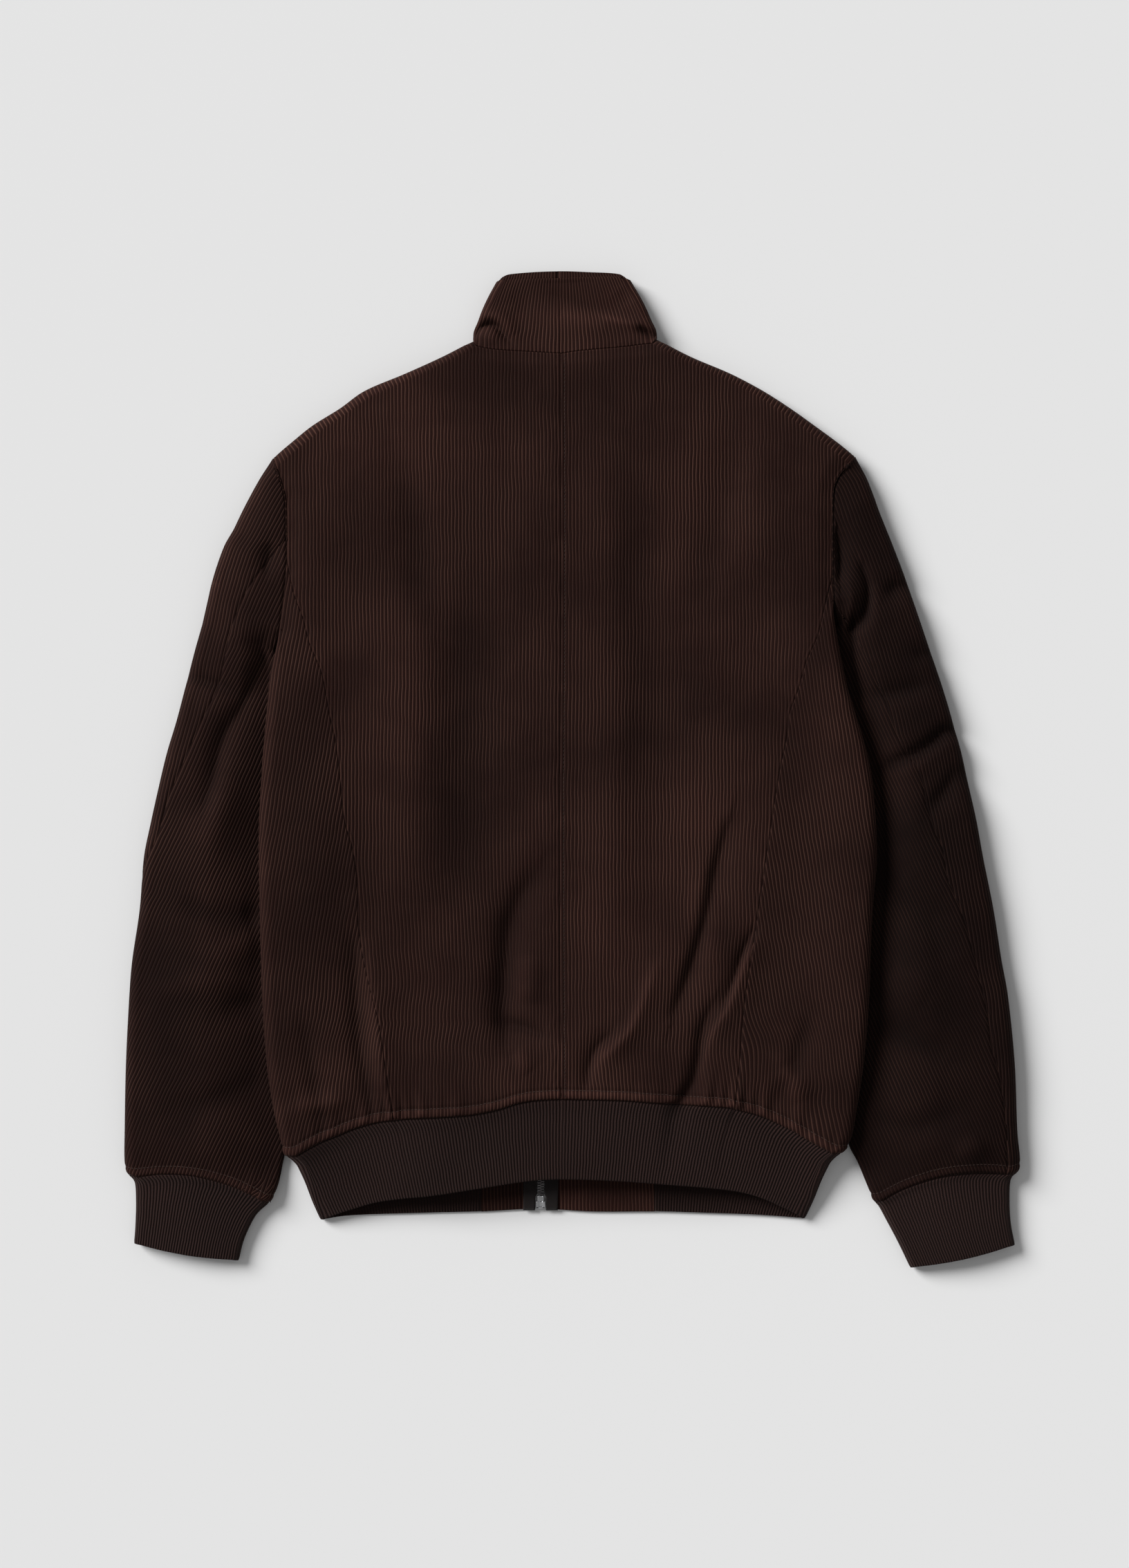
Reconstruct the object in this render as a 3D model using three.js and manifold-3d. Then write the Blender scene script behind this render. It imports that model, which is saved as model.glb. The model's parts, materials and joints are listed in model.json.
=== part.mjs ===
// Corduroy jacket with a zip front, ribbed hem and ribbed cuffs, laid face down.
// Lengths are in mm with Z up. The tables give places in units of UNIT mm, x to
// the right and y towards the hem, counted from the corner of one drawing.
import * as THREE from 'three';
import Module from 'manifold-3d';

const UNIT = 0.6;          // mm for one unit of the tables
const MID_X = 827;         // table place of the middle of the outline
const MID_Y = 1113;
const WALL = 2.6;          // corduroy
const SEAM = 0.3;          // gap between two sewn pieces
const LOFT = 19.5;         // upper face of the back above the surface
const SIDE_RISE = 6;       // extra height where the body lies on the sleeves
const SIDE_LOW = 9.5;      // underside of the side fold, above the sleeve
const FOLD_W = 10;         // plan width of the side fold's round
const SHOULDER_W = 9;      // plan width of the shoulder fold's round at the sleeve
const NECK_W = 6;          // the same at the neck
const SEAM_IN = 6;         // shoulder seam's distance inside the fold, underneath
const ZIP_HALF = 4.5;      // front edge to the zip's middle line
const ZIP_LIFT = 1.75;     // the collar's rise over the slider
const ROWS_ARM = 8;        // rows from the shoulder to the side seam
const ROWS_SIDE = 16;      // rows from there to the hem
const TAU = Math.PI * 2;

// Vectors
const add = (a, b, s = 1) => a.map((v, i) => v + s * b[i]);
const mix = (a, b, t) => (Array.isArray(a) ? a.map((v, i) => v + (b[i] - v) * t) : a + (b - a) * t);
const len = (a) => Math.hypot(...a);
const unit = (a) => { const l = len(a) || 1; return a.map((v) => v / l); };
const dot = (a, b) => a.reduce((s, v, i) => s + v * b[i], 0);
const cross = (a, b) => [a[1] * b[2] - a[2] * b[1], a[2] * b[0] - a[0] * b[2],
  a[0] * b[1] - a[1] * b[0]];
const clamp = (v, a = 0, b = 1) => Math.min(b, Math.max(a, v));
const ease = (a, b, x) => { const t = clamp((x - a) / (b - a)); return t * t * (3 - 2 * t); };
const at = ([x, y]) => [(x - MID_X) * UNIT, (MID_Y - y) * UNIT];
const count = (n, f) => Array.from({ length: n }, (_, i) => f(i));

// A smooth line through table places, as a function of 0 to 1 of its length.
function path(rows) {
  const p = rows.map(at);
  const fine = [];
  for (let i = 0; i < p.length - 1; i++) {
    const a = p[Math.max(i - 1, 0)], b = p[i], c = p[i + 1], d = p[Math.min(i + 2, p.length - 1)];
    const l = len(add(c, b, -1));
    const m0 = unit(add(c, a, -1)).map((v) => v * l), m1 = unit(add(d, b, -1)).map((v) => v * l);
    for (let k = 0; k < 10; k++) {
      const t = k / 10, u = t * t * t, w = t * t;
      fine.push([0, 1].map((e) => (2 * u - 3 * w + 1) * b[e] + (u - 2 * w + t) * m0[e]
        + (3 * w - 2 * u) * c[e] + (u - w) * m1[e]));
    }
  }
  fine.push(p.at(-1));
  const run = [0];
  fine.slice(1).forEach((q, i) => run.push(run[i] + len(add(q, fine[i], -1))));
  const f = (t) => {
    const s = clamp(t) * run.at(-1);
    let i = 0;
    while (i < run.length - 2 && run[i + 1] < s) i++;
    return mix(fine[i], fine[i + 1], (s - run[i]) / (run[i + 1] - run[i] || 1));
  };
  f.fine = fine;
  return f;
}
const cut = (f, n) => count(n + 1, (i) => f(i / n));
const listAt = (list, i) => {
  const k = clamp(Math.floor(i), 0, list.length - 2);
  return mix(list[k], list[k + 1], i - k);
};
// x of a line at a given y, and the distance from a place to a line.
const xAt = (f, y) => {
  const q = f.fine;
  for (let i = 0; i < q.length - 1; i++) {
    if ((q[i][1] - y) * (q[i + 1][1] - y) <= 0) {
      return mix(q[i][0], q[i + 1][0], (y - q[i][1]) / (q[i + 1][1] - q[i][1] || 1));
    }
  }
  return Math.abs(q[0][1] - y) < Math.abs(q.at(-1)[1] - y) ? q[0][0] : q.at(-1)[0];
};
function off(line, x, y) {
  let best = 1e9, along = 0;
  for (let i = 0; i < line.length - 1; i++) {
    const a = line[i], b = line[i + 1], d = [b[0] - a[0], b[1] - a[1]];
    const t = clamp(((x - a[0]) * d[0] + (y - a[1]) * d[1]) / (d[0] ** 2 + d[1] ** 2));
    const r = Math.hypot(x - a[0] - t * d[0], y - a[1] - t * d[1]);
    if (r < best) { best = r; along = (i + t) / (line.length - 1); }
  }
  return [best, along];
}

// The cut, one column of places for each line of the pattern.
const SIDES = {
  left: {
    sign: -1, rowsLow: 4,
    shoulder: [[394, 662], [420, 640], [451, 615], [491, 590], [526, 565], [585, 540],
      [640, 515], [684, 492]],
    neck: [[688.6, 501], [707, 505], [728, 507], [773, 509.6], [811, 511.8]],
    arm: [[399.5, 676], [406, 695], [413, 722], [415, 766], [415, 810]],
    armLow: [[415, 810], [412, 850], [404.5, 910]],
    edge: [[401, 930], [395, 957], [390, 983], [387, 1019], [381, 1085], [377, 1151],
      [374.5, 1196], [376, 1319], [382.5, 1500], [395, 1600], [412, 1671]],
    sideBack: [[415, 810], [426, 861], [439, 895], [448, 930], [466, 974], [477, 1032],
      [486, 1072], [492, 1120], [499, 1187], [510, 1225], [517, 1272], [519, 1340],
      [530, 1408], [549, 1480], [558, 1541], [570, 1620]],
    hemSide: [[570, 1620], [543, 1623], [504, 1633], [480, 1642], [451, 1652], [412, 1671]],
    hemBack: [[570, 1620], [587, 1618], [627, 1616], [681, 1612], [721, 1604],
      [748, 1595.5], [775, 1591], [811.5, 1589]],
    armFront: [[405, 686], [424, 722], [436, 766], [444, 815], [452, 886]],
    armFloor: [[438, 903], [420, 924]],
    sideFront: [[452, 886], [468, 960], [478, 1019], [476, 1150], [474, 1319], [482, 1500],
      [492, 1600], [500, 1648]],
    neckFront: [[720, 513], [760, 511], [798, 508]],
    hemFront: [[500, 1648], [560, 1646], [640, 1645], [696, 1644]],
    hemTab: [[696, 1644], [735, 1644], [776, 1644]],
    outer: [[394, 662], [376, 690], [362, 715], [349, 740], [337, 765], [323, 790],
      [306, 840], [295, 890], [281, 940], [268, 990], [255, 1040], [240, 1090], [228, 1140],
      [217, 1190], [207, 1240], [201, 1315], [190, 1390], [186, 1440], [181, 1540],
      [179, 1640], [179, 1683], [183, 1700]],
    inner: [[398.5, 941], [414, 976], [411, 1019], [404, 1081], [399, 1151], [397, 1196],
      [397, 1319], [402, 1500], [409, 1600], [413, 1655], [407, 1688], [401, 1715],
      [390, 1740]],
    sleeveSeam: [[415, 776], [385, 815], [355, 859], [337, 903], [330, 930], [315, 996],
      [293, 1041], [266, 1103], [235, 1174], [226, 1212]],
    seamRow: 6, turn: true,
    cuff: [{ t: 0, in: [390, 1740], out: [183, 1700] }, { t: 0.1, in: [384, 1745], out: [193, 1711] },
      { t: 0.38, in: [368, 1761], out: [195, 1740] }, { t: 0.7, in: [352, 1794], out: [194, 1775] },
      { t: 1, in: [344, 1825], out: [192, 1800] }],
  },
  right: {
    sign: 1, rowsLow: 2,
    shoulder: [[1238, 660], [1213, 640], [1179, 615], [1144, 590], [1105, 565], [1058, 540],
      [999, 515], [951, 490]],
    neck: [[943, 497.5], [925, 499.5], [907, 502], [873, 505], [840, 508], [811, 511.8]],
    arm: [[1228, 672], [1215, 687], [1206, 708], [1204, 753], [1204, 835]],
    armLow: [[1204, 835], [1205, 868]],
    edge: [[1206, 888], [1211, 921], [1224, 988], [1237, 1032], [1253, 1085], [1262, 1134],
      [1267, 1196], [1268, 1250], [1261, 1326], [1258, 1423], [1251, 1520], [1241, 1593],
      [1231, 1646], [1219, 1667]],
    sideBack: [[1204, 835], [1191, 886], [1182, 921], [1166, 957], [1155, 996], [1142, 1032],
      [1138, 1067], [1127, 1120], [1107, 1250], [1098, 1311], [1089, 1371], [1077, 1450],
      [1071, 1523], [1063, 1604]],
    hemSide: [[1063, 1604], [1104, 1614], [1155, 1635], [1181, 1649], [1219, 1667]],
    hemBack: [[1063, 1604], [1053, 1601.5], [1002, 1598], [951, 1595], [900, 1591],
      [811.5, 1589]],
    armFront: [[1222, 681], [1200, 715], [1186, 760], [1178, 800], [1163, 846]],
    armFloor: [[1176, 860], [1190, 874]],
    sideFront: [[1163, 846], [1146, 930], [1135, 1000], [1155, 1085], [1166, 1196], [1163, 1326],
      [1159, 1423], [1149, 1540], [1131, 1650]],
    neckFront: [[912, 511], [860, 511], [813, 508]],
    hemFront: [[1131, 1650], [1070, 1647], [1000, 1645], [947, 1644]],
    hemTab: [[947, 1644], [870, 1644], [791, 1644]],
    outer: [[1238, 660], [1254, 690], [1264, 715], [1273, 740], [1293, 790], [1312, 840],
      [1329, 890], [1346, 940], [1363, 990], [1378, 1040], [1392, 1090], [1403, 1140],
      [1414, 1190], [1423, 1240], [1438, 1315], [1450, 1390], [1459, 1440], [1469, 1540],
      [1473, 1640], [1477, 1679], [1475, 1696]],
    inner: [[1210, 902], [1194, 940], [1203, 988], [1216, 1032], [1232, 1085], [1241, 1134],
      [1246, 1196], [1247, 1250], [1240, 1326], [1238, 1423], [1233, 1520], [1226, 1593],
      [1223, 1632], [1230, 1660], [1242, 1683], [1255, 1715], [1265, 1740]],
    sleeveSeam: [[1205, 868], [1225, 900], [1251, 948], [1277, 1005], [1290, 1045], [1304, 1076],
      [1330, 1120], [1339, 1160], [1352, 1205], [1362, 1224], [1372, 1277], [1391, 1321],
      [1411, 1394], [1425, 1452], [1433, 1510], [1447, 1569], [1455, 1627], [1457, 1684]],
    seamRow: 10, turn: false,
    cuff: [{ t: 0, in: [1265, 1740], out: [1475, 1696] },
      { t: 0.1, in: [1272, 1746], out: [1464, 1707] },
      { t: 0.38, in: [1283, 1766], out: [1462, 1738] },
      { t: 0.7, in: [1300, 1798], out: [1464, 1772] },
      { t: 1, in: [1318, 1835.5], out: [1470, 1802] }],
  },
};
const ZIP = path([[781.5, 1757], [783.5, 1644], [787, 1500], [795, 1100], [803, 700],
  [805.5, 508], [807, 391]]);

// The largest folds: a soft trough along each line, or a ridge where deep is negative.
const FOLDS = [
  { deep: 5, half: 13, line: [[773, 1262], [740, 1329], [731, 1402], [728, 1475], [734, 1517]] },
  { deep: 3, half: 9, line: [[728, 1481], [789, 1499]] },
  { deep: -2.5, half: 13, line: [[762, 1380], [765, 1450]] },
  { deep: 3, half: 9, line: [[874, 1511], [855, 1535], [849, 1572]] },
  { deep: 5.5, half: 15, line: [[1049, 1185], [1001, 1341], [998, 1523], [983, 1578]] },
  { deep: 4.5, half: 9, line: [[1095, 1350], [1059, 1426], [1031, 1511], [1007, 1554]] },
  { deep: -3, half: 14, line: [[1017, 1271], [1030, 1400]] },
  { deep: 4, half: 10, line: [[512, 1359], [521, 1505], [537, 1590]] },
  { deep: -2, half: 26, line: [[470, 1100], [462, 1300]] },
  { deep: 2, half: 34, line: [[676, 800], [676, 1320]] },
  { deep: -2, half: 30, line: [[590, 900], [620, 1300]] },
  { deep: 2, half: 30, line: [[930, 760], [950, 1200]] },
  { deep: -3, half: 10, line: [[430, 1600], [500, 1592]] },
  { deep: -3, half: 10, line: [[1135, 1541], [1160, 1590]] },
  { deep: 3, half: 12, line: [[800, 425], [860, 455], [930, 475]] },
  { deep: -2.5, half: 12, line: [[812, 450], [880, 474]] },
  { deep: 4, half: 13, line: [[381, 948], [350, 1019], [324, 1063], [303, 1135]] },
  { deep: 3, half: 10, line: [[275, 979], [346, 1005]] },
  { deep: -2.5, half: 16, line: [[330, 1120], [300, 1230]] },
  { deep: 3, half: 12, line: [[390, 790], [384, 835]] },
  { deep: 3.5, half: 13, line: [[1370, 1052], [1330, 1076], [1295, 1098]] },
  { deep: -2.5, half: 12, line: [[1378, 1080], [1325, 1108]] },
  { deep: 3, half: 10, line: [[1388, 1103], [1366, 1143], [1345, 1168]] },
  { deep: 3, half: 11, line: [[1308, 837], [1282, 862]] },
  { deep: 2.5, half: 12, line: [[1270, 1000], [1339, 992]] },
  { deep: -2.5, half: 12, line: [[1385, 1675], [1420, 1652]] },
].map((f) => ({ ...f, line: f.line.map(at) }));
function creases(x, y) {
  let z = 0;
  for (const f of FOLDS) {
    const [r, s] = off(f.line, x, y);
    if (r < 3 * f.half) z -= f.deep * Math.exp(-((r / f.half) ** 2)) * (0.55 + 0.45 * Math.sin(Math.PI * s));
  }
  return z;
}

for (const s of Object.values(SIDES)) {
  for (const k of ['shoulder', 'neck', 'arm', 'armLow', 'edge', 'sideBack', 'hemSide', 'hemBack',
    'armFront', 'sideFront', 'hemFront', 'hemTab', 'outer', 'inner', 'sleeveSeam']) s[k] = path(s[k]);
  s.armLine = [...s.arm.fine, ...s.armLow.fine];
}
const NECK_LINE = [...SIDES.left.neck.fine, ...[...SIDES.right.neck.fine].reverse()];

// Upper face of the body, and the rise of the underside beside the zip.
function bodyTop(x, y) {
  const s = x < 0 ? SIDES.left : SIDES.right;
  const d = Math.abs(x - xAt(s.edge, y));
  const below = ease(s.edge(0)[1] + 20, s.edge(0)[1] - 60, y);
  let z = LOFT + SIDE_RISE * below * (1 - ease(8, 75, d));
  z += 4.5 * ease(-190, -285, y) * (1 - (x / 260) ** 2);
  if (y < 290 && y > 100) z -= 2.2 * (1 - ease(0, 16, off(s.armLine, x, y)[0]));
  if (y > 330) z -= 1.6 * (1 - ease(0, 11, off(NECK_LINE, x, y)[0]));
  z -= 2.5 * ease(-262, -292, y) * ease(120, 220, Math.abs(x));
  return z + creases(x, y);
}
function zipLift(x, y) {
  return ZIP_LIFT * ease(270, 360, y) * (1 - ease(8, 45, Math.abs(x - xAt(ZIP, y))));
}
const topNormal = (x, y, f = bodyTop) => unit([
  (f(x - 1, y) - f(x + 1, y)) / 2, (f(x, y - 1) - f(x, y + 1)) / 2, 1]);
const floorNormal = (x, y) => unit([(zipLift(x + 1, y) - zipLift(x - 1, y)) / 2,
  (zipLift(x, y + 1) - zipLift(x, y - 1)) / 2, -1]);
const onTop = ([x, y]) => ({ p: [x, y, bodyTop(x, y)], n: topNormal(x, y) });
const onFloor = ([x, y]) => ({ p: [x, y, zipLift(x, y)], n: floorNormal(x, y) });

// A panel in plan between four lines, rows from top to bottom.
function coons(left, right, top, bottom) {
  const m = left.length - 1, n = top.length - 1;
  return count(m + 1, (i) => count(n + 1, (j) => {
    const v = i / m, u = j / n;
    return [0, 1].map((k) => (1 - u) * left[i][k] + u * right[i][k]
      + (1 - v) * (top[j][k] - mix(top[0][k], top[n][k], u))
      + v * (bottom[j][k] - mix(bottom[0][k], bottom[n][k], u)));
  }));
}

// A closed wall from a grid of places and normals. Places that coincide are
// joined, so a row may close to a point. open marks columns of cells left out.
function wall(grid, { thick = WALL, open = () => false, flip = false, keep = false } = {}) {
  const verts = [], key = new Map();
  const id = (g) => {
    const k = g.p.map((v) => Math.round(v * 500)).join();
    if (!key.has(k)) { key.set(k, verts.length); verts.push({ p: [...g.p], n: [...g.n] }); }
    return key.get(k);
  };
  const ids = grid.map((row) => row.map(id));
  let tris = [];
  for (let i = 0; i < grid.length - 1; i++) {
    for (let j = 0; j < grid[0].length - 1; j++) {
      if (open(i, j)) continue;
      const [a, b, c, d] = [ids[i][j], ids[i + 1][j], ids[i + 1][j + 1], ids[i][j + 1]];
      const split = len(add(verts[a].p, verts[c].p, -1)) <= len(add(verts[b].p, verts[d].p, -1));
      tris.push(...(split ? [[a, b, c], [a, c, d]] : [[a, b, d], [b, c, d]]));
    }
  }
  tris = tris.filter(([a, b, c]) => a !== b && b !== c && a !== c
    && len(cross(add(verts[b].p, verts[a].p, -1), add(verts[c].p, verts[a].p, -1))) > 1e-3);
  if (flip) tris = tris.map(([a, b, c]) => [a, c, b]);
  const half = new Map();
  tris.forEach((t) => [0, 1, 2].forEach((e) => half.set(`${t[e]},${t[(e + 1) % 3]}`, t)));
  const rim = [];
  const push = new Map();
  for (const [k, t] of half) {
    const [a, b] = k.split(',').map(Number);
    if (half.has(`${b},${a}`)) continue;
    rim.push([a, b]);
    const c = t.find((v) => v !== a && v !== b);
    const e = unit(add(verts[b].p, verts[a].p, -1));
    const r = add(verts[c].p, verts[a].p, -1);
    const inward = unit(add(r, e, -dot(r, e)));
    for (const v of [a, b]) push.set(v, [...(push.get(v) || []), inward]);
  }
  // Half the seam gap, taken off along every edge of the piece.
  for (const [v, list] of push) {
    if (keep) continue;
    const sum = list.reduce((s, w) => add(s, w), [0, 0, 0]);
    const d = unit(sum), c = Math.max(0.4, dot(d, list[0]));
    verts[v].p = add(verts[v].p, d, SEAM / 2 / c);
    verts[v].p[2] = Math.max(0, verts[v].p[2]);
  }
  const n = verts.length;
  const inner = verts.map(({ p, n: m }) => add(p, m, -thick));
  const index = [...tris, ...tris.map(([a, b, c]) => [a + n, c + n, b + n])];
  // Both pieces of a seam split their edge faces the same way.
  const rank = (v) => verts[v].p[0] + 1.7 * verts[v].p[1] + 0.6 * verts[v].p[2];
  for (const [a, b] of rim) {
    index.push(...(rank(a) < rank(b) ? [[a, a + n, b], [b, a + n, b + n]]
      : [[a, a + n, b + n], [a, b + n, b]]));
  }
  return { points: [...verts.map((v) => v.p), ...inner], index };
}

const group = new THREE.Group();
group.name = 'corduroy_jacket';
const LOOK = {
  corduroy: { color: 0x3a2621, roughness: 0.92, metalness: 0 },
  rib_knit: { color: 0x3b2d28, roughness: 0.95, metalness: 0 },
  zip_tape: { color: 0x1c1817, roughness: 0.9, metalness: 0 },
  zip_metal: { color: 0xb9bcc0, roughness: 0.28, metalness: 1 },
};
function mesh(name, look, { points, index }) {
  const g = new THREE.BufferGeometry();
  g.setAttribute('position', new THREE.Float32BufferAttribute(points.flat(), 3));
  g.setIndex(index.flat());
  g.computeVertexNormals();
  const m = new THREE.Mesh(g, new THREE.MeshStandardMaterial(LOOK[look]));
  m.name = name;
  m.material.name = look;
  group.add(m);
}

// Back panels: rows from the shoulder and neck to the hem, and the shoulder's round.
const COLS_SHOULDER = 8, COLS_NECK = 4;
const centreBack = cut(path([[811, 511.8], [812, 900], [810, 1200], [811.5, 1589]]),
  ROWS_ARM + ROWS_SIDE);
const body = {};
for (const [name, s] of Object.entries(SIDES)) {
  const shoulder = cut(s.shoulder, COLS_SHOULDER);
  const rim = shoulder.map((p, j) => {
    const d = unit(add(s.shoulder((j + 0.3) / COLS_SHOULDER), s.shoulder((j - 0.3) / COLS_SHOULDER), -1));
    const inward = [d[1] * -s.sign, d[0] * s.sign];
    const w = mix(SHOULDER_W, NECK_W, j / COLS_SHOULDER);
    let q = add(p, inward, w);
    if (j === 0) q = s.arm(0);
    if (j === COLS_SHOULDER) q = s.neck(0);
    return { inner: q, out: unit(add(p, q, -1)), w: len(add(p, q, -1)) };
  });
  const left = [...cut(s.arm, ROWS_ARM), ...cut(s.sideBack, ROWS_SIDE).slice(1)];
  const top = [...rim.map((r) => r.inner), ...cut(s.neck, COLS_NECK).slice(1)];
  const bottom = cut(s.hemBack, COLS_SHOULDER + COLS_NECK);
  const plan = coons(left, centreBack, top, bottom);
  const grid = plan.map((row) => row.map(onTop));
  // Round of the shoulder, from its underside seam up to the panel.
  const round = count(7, (k) => rim.map((r) => {
    const a = Math.PI * (1 - k / 6), h = bodyTop(...r.inner);
    const q = add(r.inner, r.out, r.w * Math.sin(a));
    const z = a > Math.PI / 2 ? (h / 2) * (1 + Math.cos(a)) : h / 2 + (h / 2) * Math.cos(a);
    return { p: [...q, z], n: unit([...r.out.map((v) => v * Math.sin(a)), Math.cos(a)]) };
  }));
  const seam = rim.map((r) => onFloor(add(r.inner, r.out, -SEAM_IN)));
  const cap = [seam, ...round.slice(0, 6)];
  const pad = (row) => [...row, ...count(COLS_NECK, () => row.at(-1))];
  const full = [...cap.map(pad), ...grid];
  mesh(`back_${name}`, 'corduroy', wall(full, {
    open: (i, j) => i < cap.length && j >= COLS_SHOULDER, flip: s.sign > 0,
  }));
  body[name] = { grid, cap, rim, seam };
}

// Side panels: from the side back seam over the fold to the seam underneath.
for (const [name, s] of Object.entries(SIDES)) {
  const back = cut(s.sideBack, ROWS_SIDE), front = cut(s.sideFront, ROWS_SIDE);
  const edge = cut(s.edge, ROWS_SIDE);
  const flat = s.rowsLow;
  const mid = edge.map((p, i) => (i === 0 ? s.armLow(1) : add(p, [-s.sign * FOLD_W, 0])));
  const hem = cut(s.hemSide, flat * 3);
  const low = (i) => mix(bodyTop(...mid[0]) - 6, SIDE_LOW, ease(0, 3, i));
  const grid = count(ROWS_SIDE + 1, (i) => {
    const row = [];
    const v = i / ROWS_SIDE;
    for (let j = 0; j <= flat; j++) {
      const u = j / flat;
      const q = mix(back[i], mid[i], u);
      const bend0 = add(s.armLow(u), mix(back[0], mid[0], u), -1);
      const e = path.hem?.[name] ?? hem;
      const bend1 = add(mix(e[j * 3], e[j * 3], 0), mix(e[0], e.at(-1), u), -1);
      row.push(onTop(add(add(q, bend0, 1 - ease(0, 0.25, v)), bend1, ease(0.7, 1, v))));
    }
    const z1 = bodyTop(...mid[i]), z0 = low(i), zm = (z1 + z0) / 2;
    const out = unit(add(edge[i], mid[i], -1)), w = len(add(edge[i], mid[i], -1));
    for (let k = 1; k <= 6; k++) {
      const a = (Math.PI * k) / 6;
      const side = i === 0 ? [-s.sign, 0] : null;
      let q = add(mid[i], out, w * Math.sin(a));
      if (side && k > 3) q = mix(edge[i], add(edge[i], [-s.sign * 9, -4]), 1 - Math.sin(a));
      row.push({ p: [...q, zm + ((z1 - z0) / 2) * Math.cos(a)],
        n: unit([...out.map((c) => c * Math.sin(a)), Math.cos(a)]) });
    }
    const from = row.at(-1).p;
    for (let k = 1; k <= 4; k++) {
      const u = k / 4;
      const q = mix(from.slice(0, 2), front[i], u);
      const z = z0 * (1 - ease(0.14, 0.72, u)) + (u > 0.9 ? zipLift(...q) : 0);
      row.push({ p: [...q, z], n: [0, 0, -1] });
    }
    return row;
  });
  // Normals of the ramp underneath, square to the row.
  grid.forEach((row) => row.forEach((g, j) => {
    if (j <= flat + 5 || j === row.length - 1) return;
    const d = add(row[j + 1].p, row[j - 1].p, -1);
    const r = Math.hypot(d[0], d[1]);
    g.n = unit([d[0] / r * d[2] / r, d[1] / r * d[2] / r, -1]);
  }));
  mesh(`side_${name}`, 'corduroy', wall(grid, { flip: s.sign < 0 }));
  body[name].side = grid;
}

// Fronts, flat on the surface, from the side seam to the zip.
for (const [name, s] of Object.entries(SIDES)) {
  const n = ROWS_ARM + s.rowsLow - 2;
  const zipEdge = cut((t) => {
    const y = mix(at([0, 508])[1], at([0, 1644])[1], t);
    return [xAt(ZIP, y) + s.sign * ZIP_HALF, y];
  }, n + ROWS_SIDE);
  const left = [...cut(s.armFront, n), ...cut(s.sideFront, ROWS_SIDE).slice(1)];
  const shoulder = body[name].seam.map((g) => g.p.slice(0, 2));
  left[0] = shoulder[0];
  const neck = path([shoulder.at(-1)].map(([x, y]) => [x / UNIT + MID_X, MID_Y - y / UNIT])
    .concat(s.neckFront));
  const top = [...shoulder, ...cut(neck, COLS_NECK).slice(1)];
  top[top.length - 1] = zipEdge[0];
  const tab = cut(s.hemTab, 5);
  tab[5] = zipEdge.at(-1);
  const bottom = [...cut(s.hemFront, 7), ...tab.slice(1)];
  const grid = coons(left, zipEdge, top, bottom).map((row) => row.map(onFloor));
  mesh(`front_${name}`, 'corduroy', wall(grid, { flip: s.sign < 0 }));
  body[name].front = grid;
}

// Sleeves. A section goes from the inner fold over the top (0 to 3) and back
// underneath (3 to 6); 1 to 2 is the top's flat part and 4 to 5 the bottom's.
const STATIONS = [0, 0.5, 1, 1.14, 1.28, 1.43, 1.57, 1.71, 1.86, 2, 2.34, 2.67, 3, 3.33, 3.67, 4,
  4.33, 4.67, 5, 5.5, 6];
function sleeveFrames(s, name) {
  const f = [];
  const nOpen = ROWS_ARM + s.rowsLow, nClosed = 15;
  const armTop = [...cut(s.arm, ROWS_ARM), ...cut(s.armLow, s.rowsLow).slice(1)];
  const floorPts = [...body[name].front.slice(0, nOpen - 1).map((r) => r[0].p.slice(0, 2)),
    ...s.armFloor.map(at)];
  const openEnd = s.sign < 0 ? 0.205 : 0.19;
  for (let i = 0; i <= nOpen; i++) {
    const o = s.outer(openEnd * (i / nOpen) ** 1.1);
    const p = armTop[i];
    f.push({ open: true, in: p, floor: floorPts[i], out: o, zin: bodyTop(...p), nin: topNormal(...p),
      wi: 0, wo: mix(len(add(o, p, -1)), 10, ease(0, 2, i)), zo: mix(bodyTop(...s.arm(0)), 18.5, ease(0, 4, i)),
      crown: 2.5 * ease(1, 6, i), zl: 0 });
  }
  for (let i = 0; i <= nClosed; i++) {
    const t = i / nClosed;
    const o = s.outer(mix(openEnd + 0.04, 1, t)), q = s.inner(t);
    const end = ease(0.93, 1, t);
    const hi = i === 0 ? 11.5 : mix(8.4, 14, end);
    f.push({ open: false, in: q, floor: q, out: o, zin: hi, wi: mix(5, 8, end), wo: 10,
      zo: mix(18.5, 16, end), crown: mix(3, 1.5, end), bow: 10 * ease(0.8, 1, t), zl: 0 });
  }
  return f;
}
function cuffFrames(s) {
  const rows = s.cuff;
  return [0, 0.1, 0.38, 0.7, 1].map((t, i) => {
    const r = rows[i];
    return { open: false, in: at(r.in), floor: at(r.in), out: at(r.out), zin: mix(14, 12, t),
      wi: mix(8, 6, t), wo: mix(10, 7, t), zo: mix(16, 13.5, t), crown: mix(1.5, 2, t),
      bow: 10 * (1 - t) ** 1.5 - 2 * t, neck: t > 0 ? 2.2 - t : 0, zl: 0, reach: 3 * t };
  });
}
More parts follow.
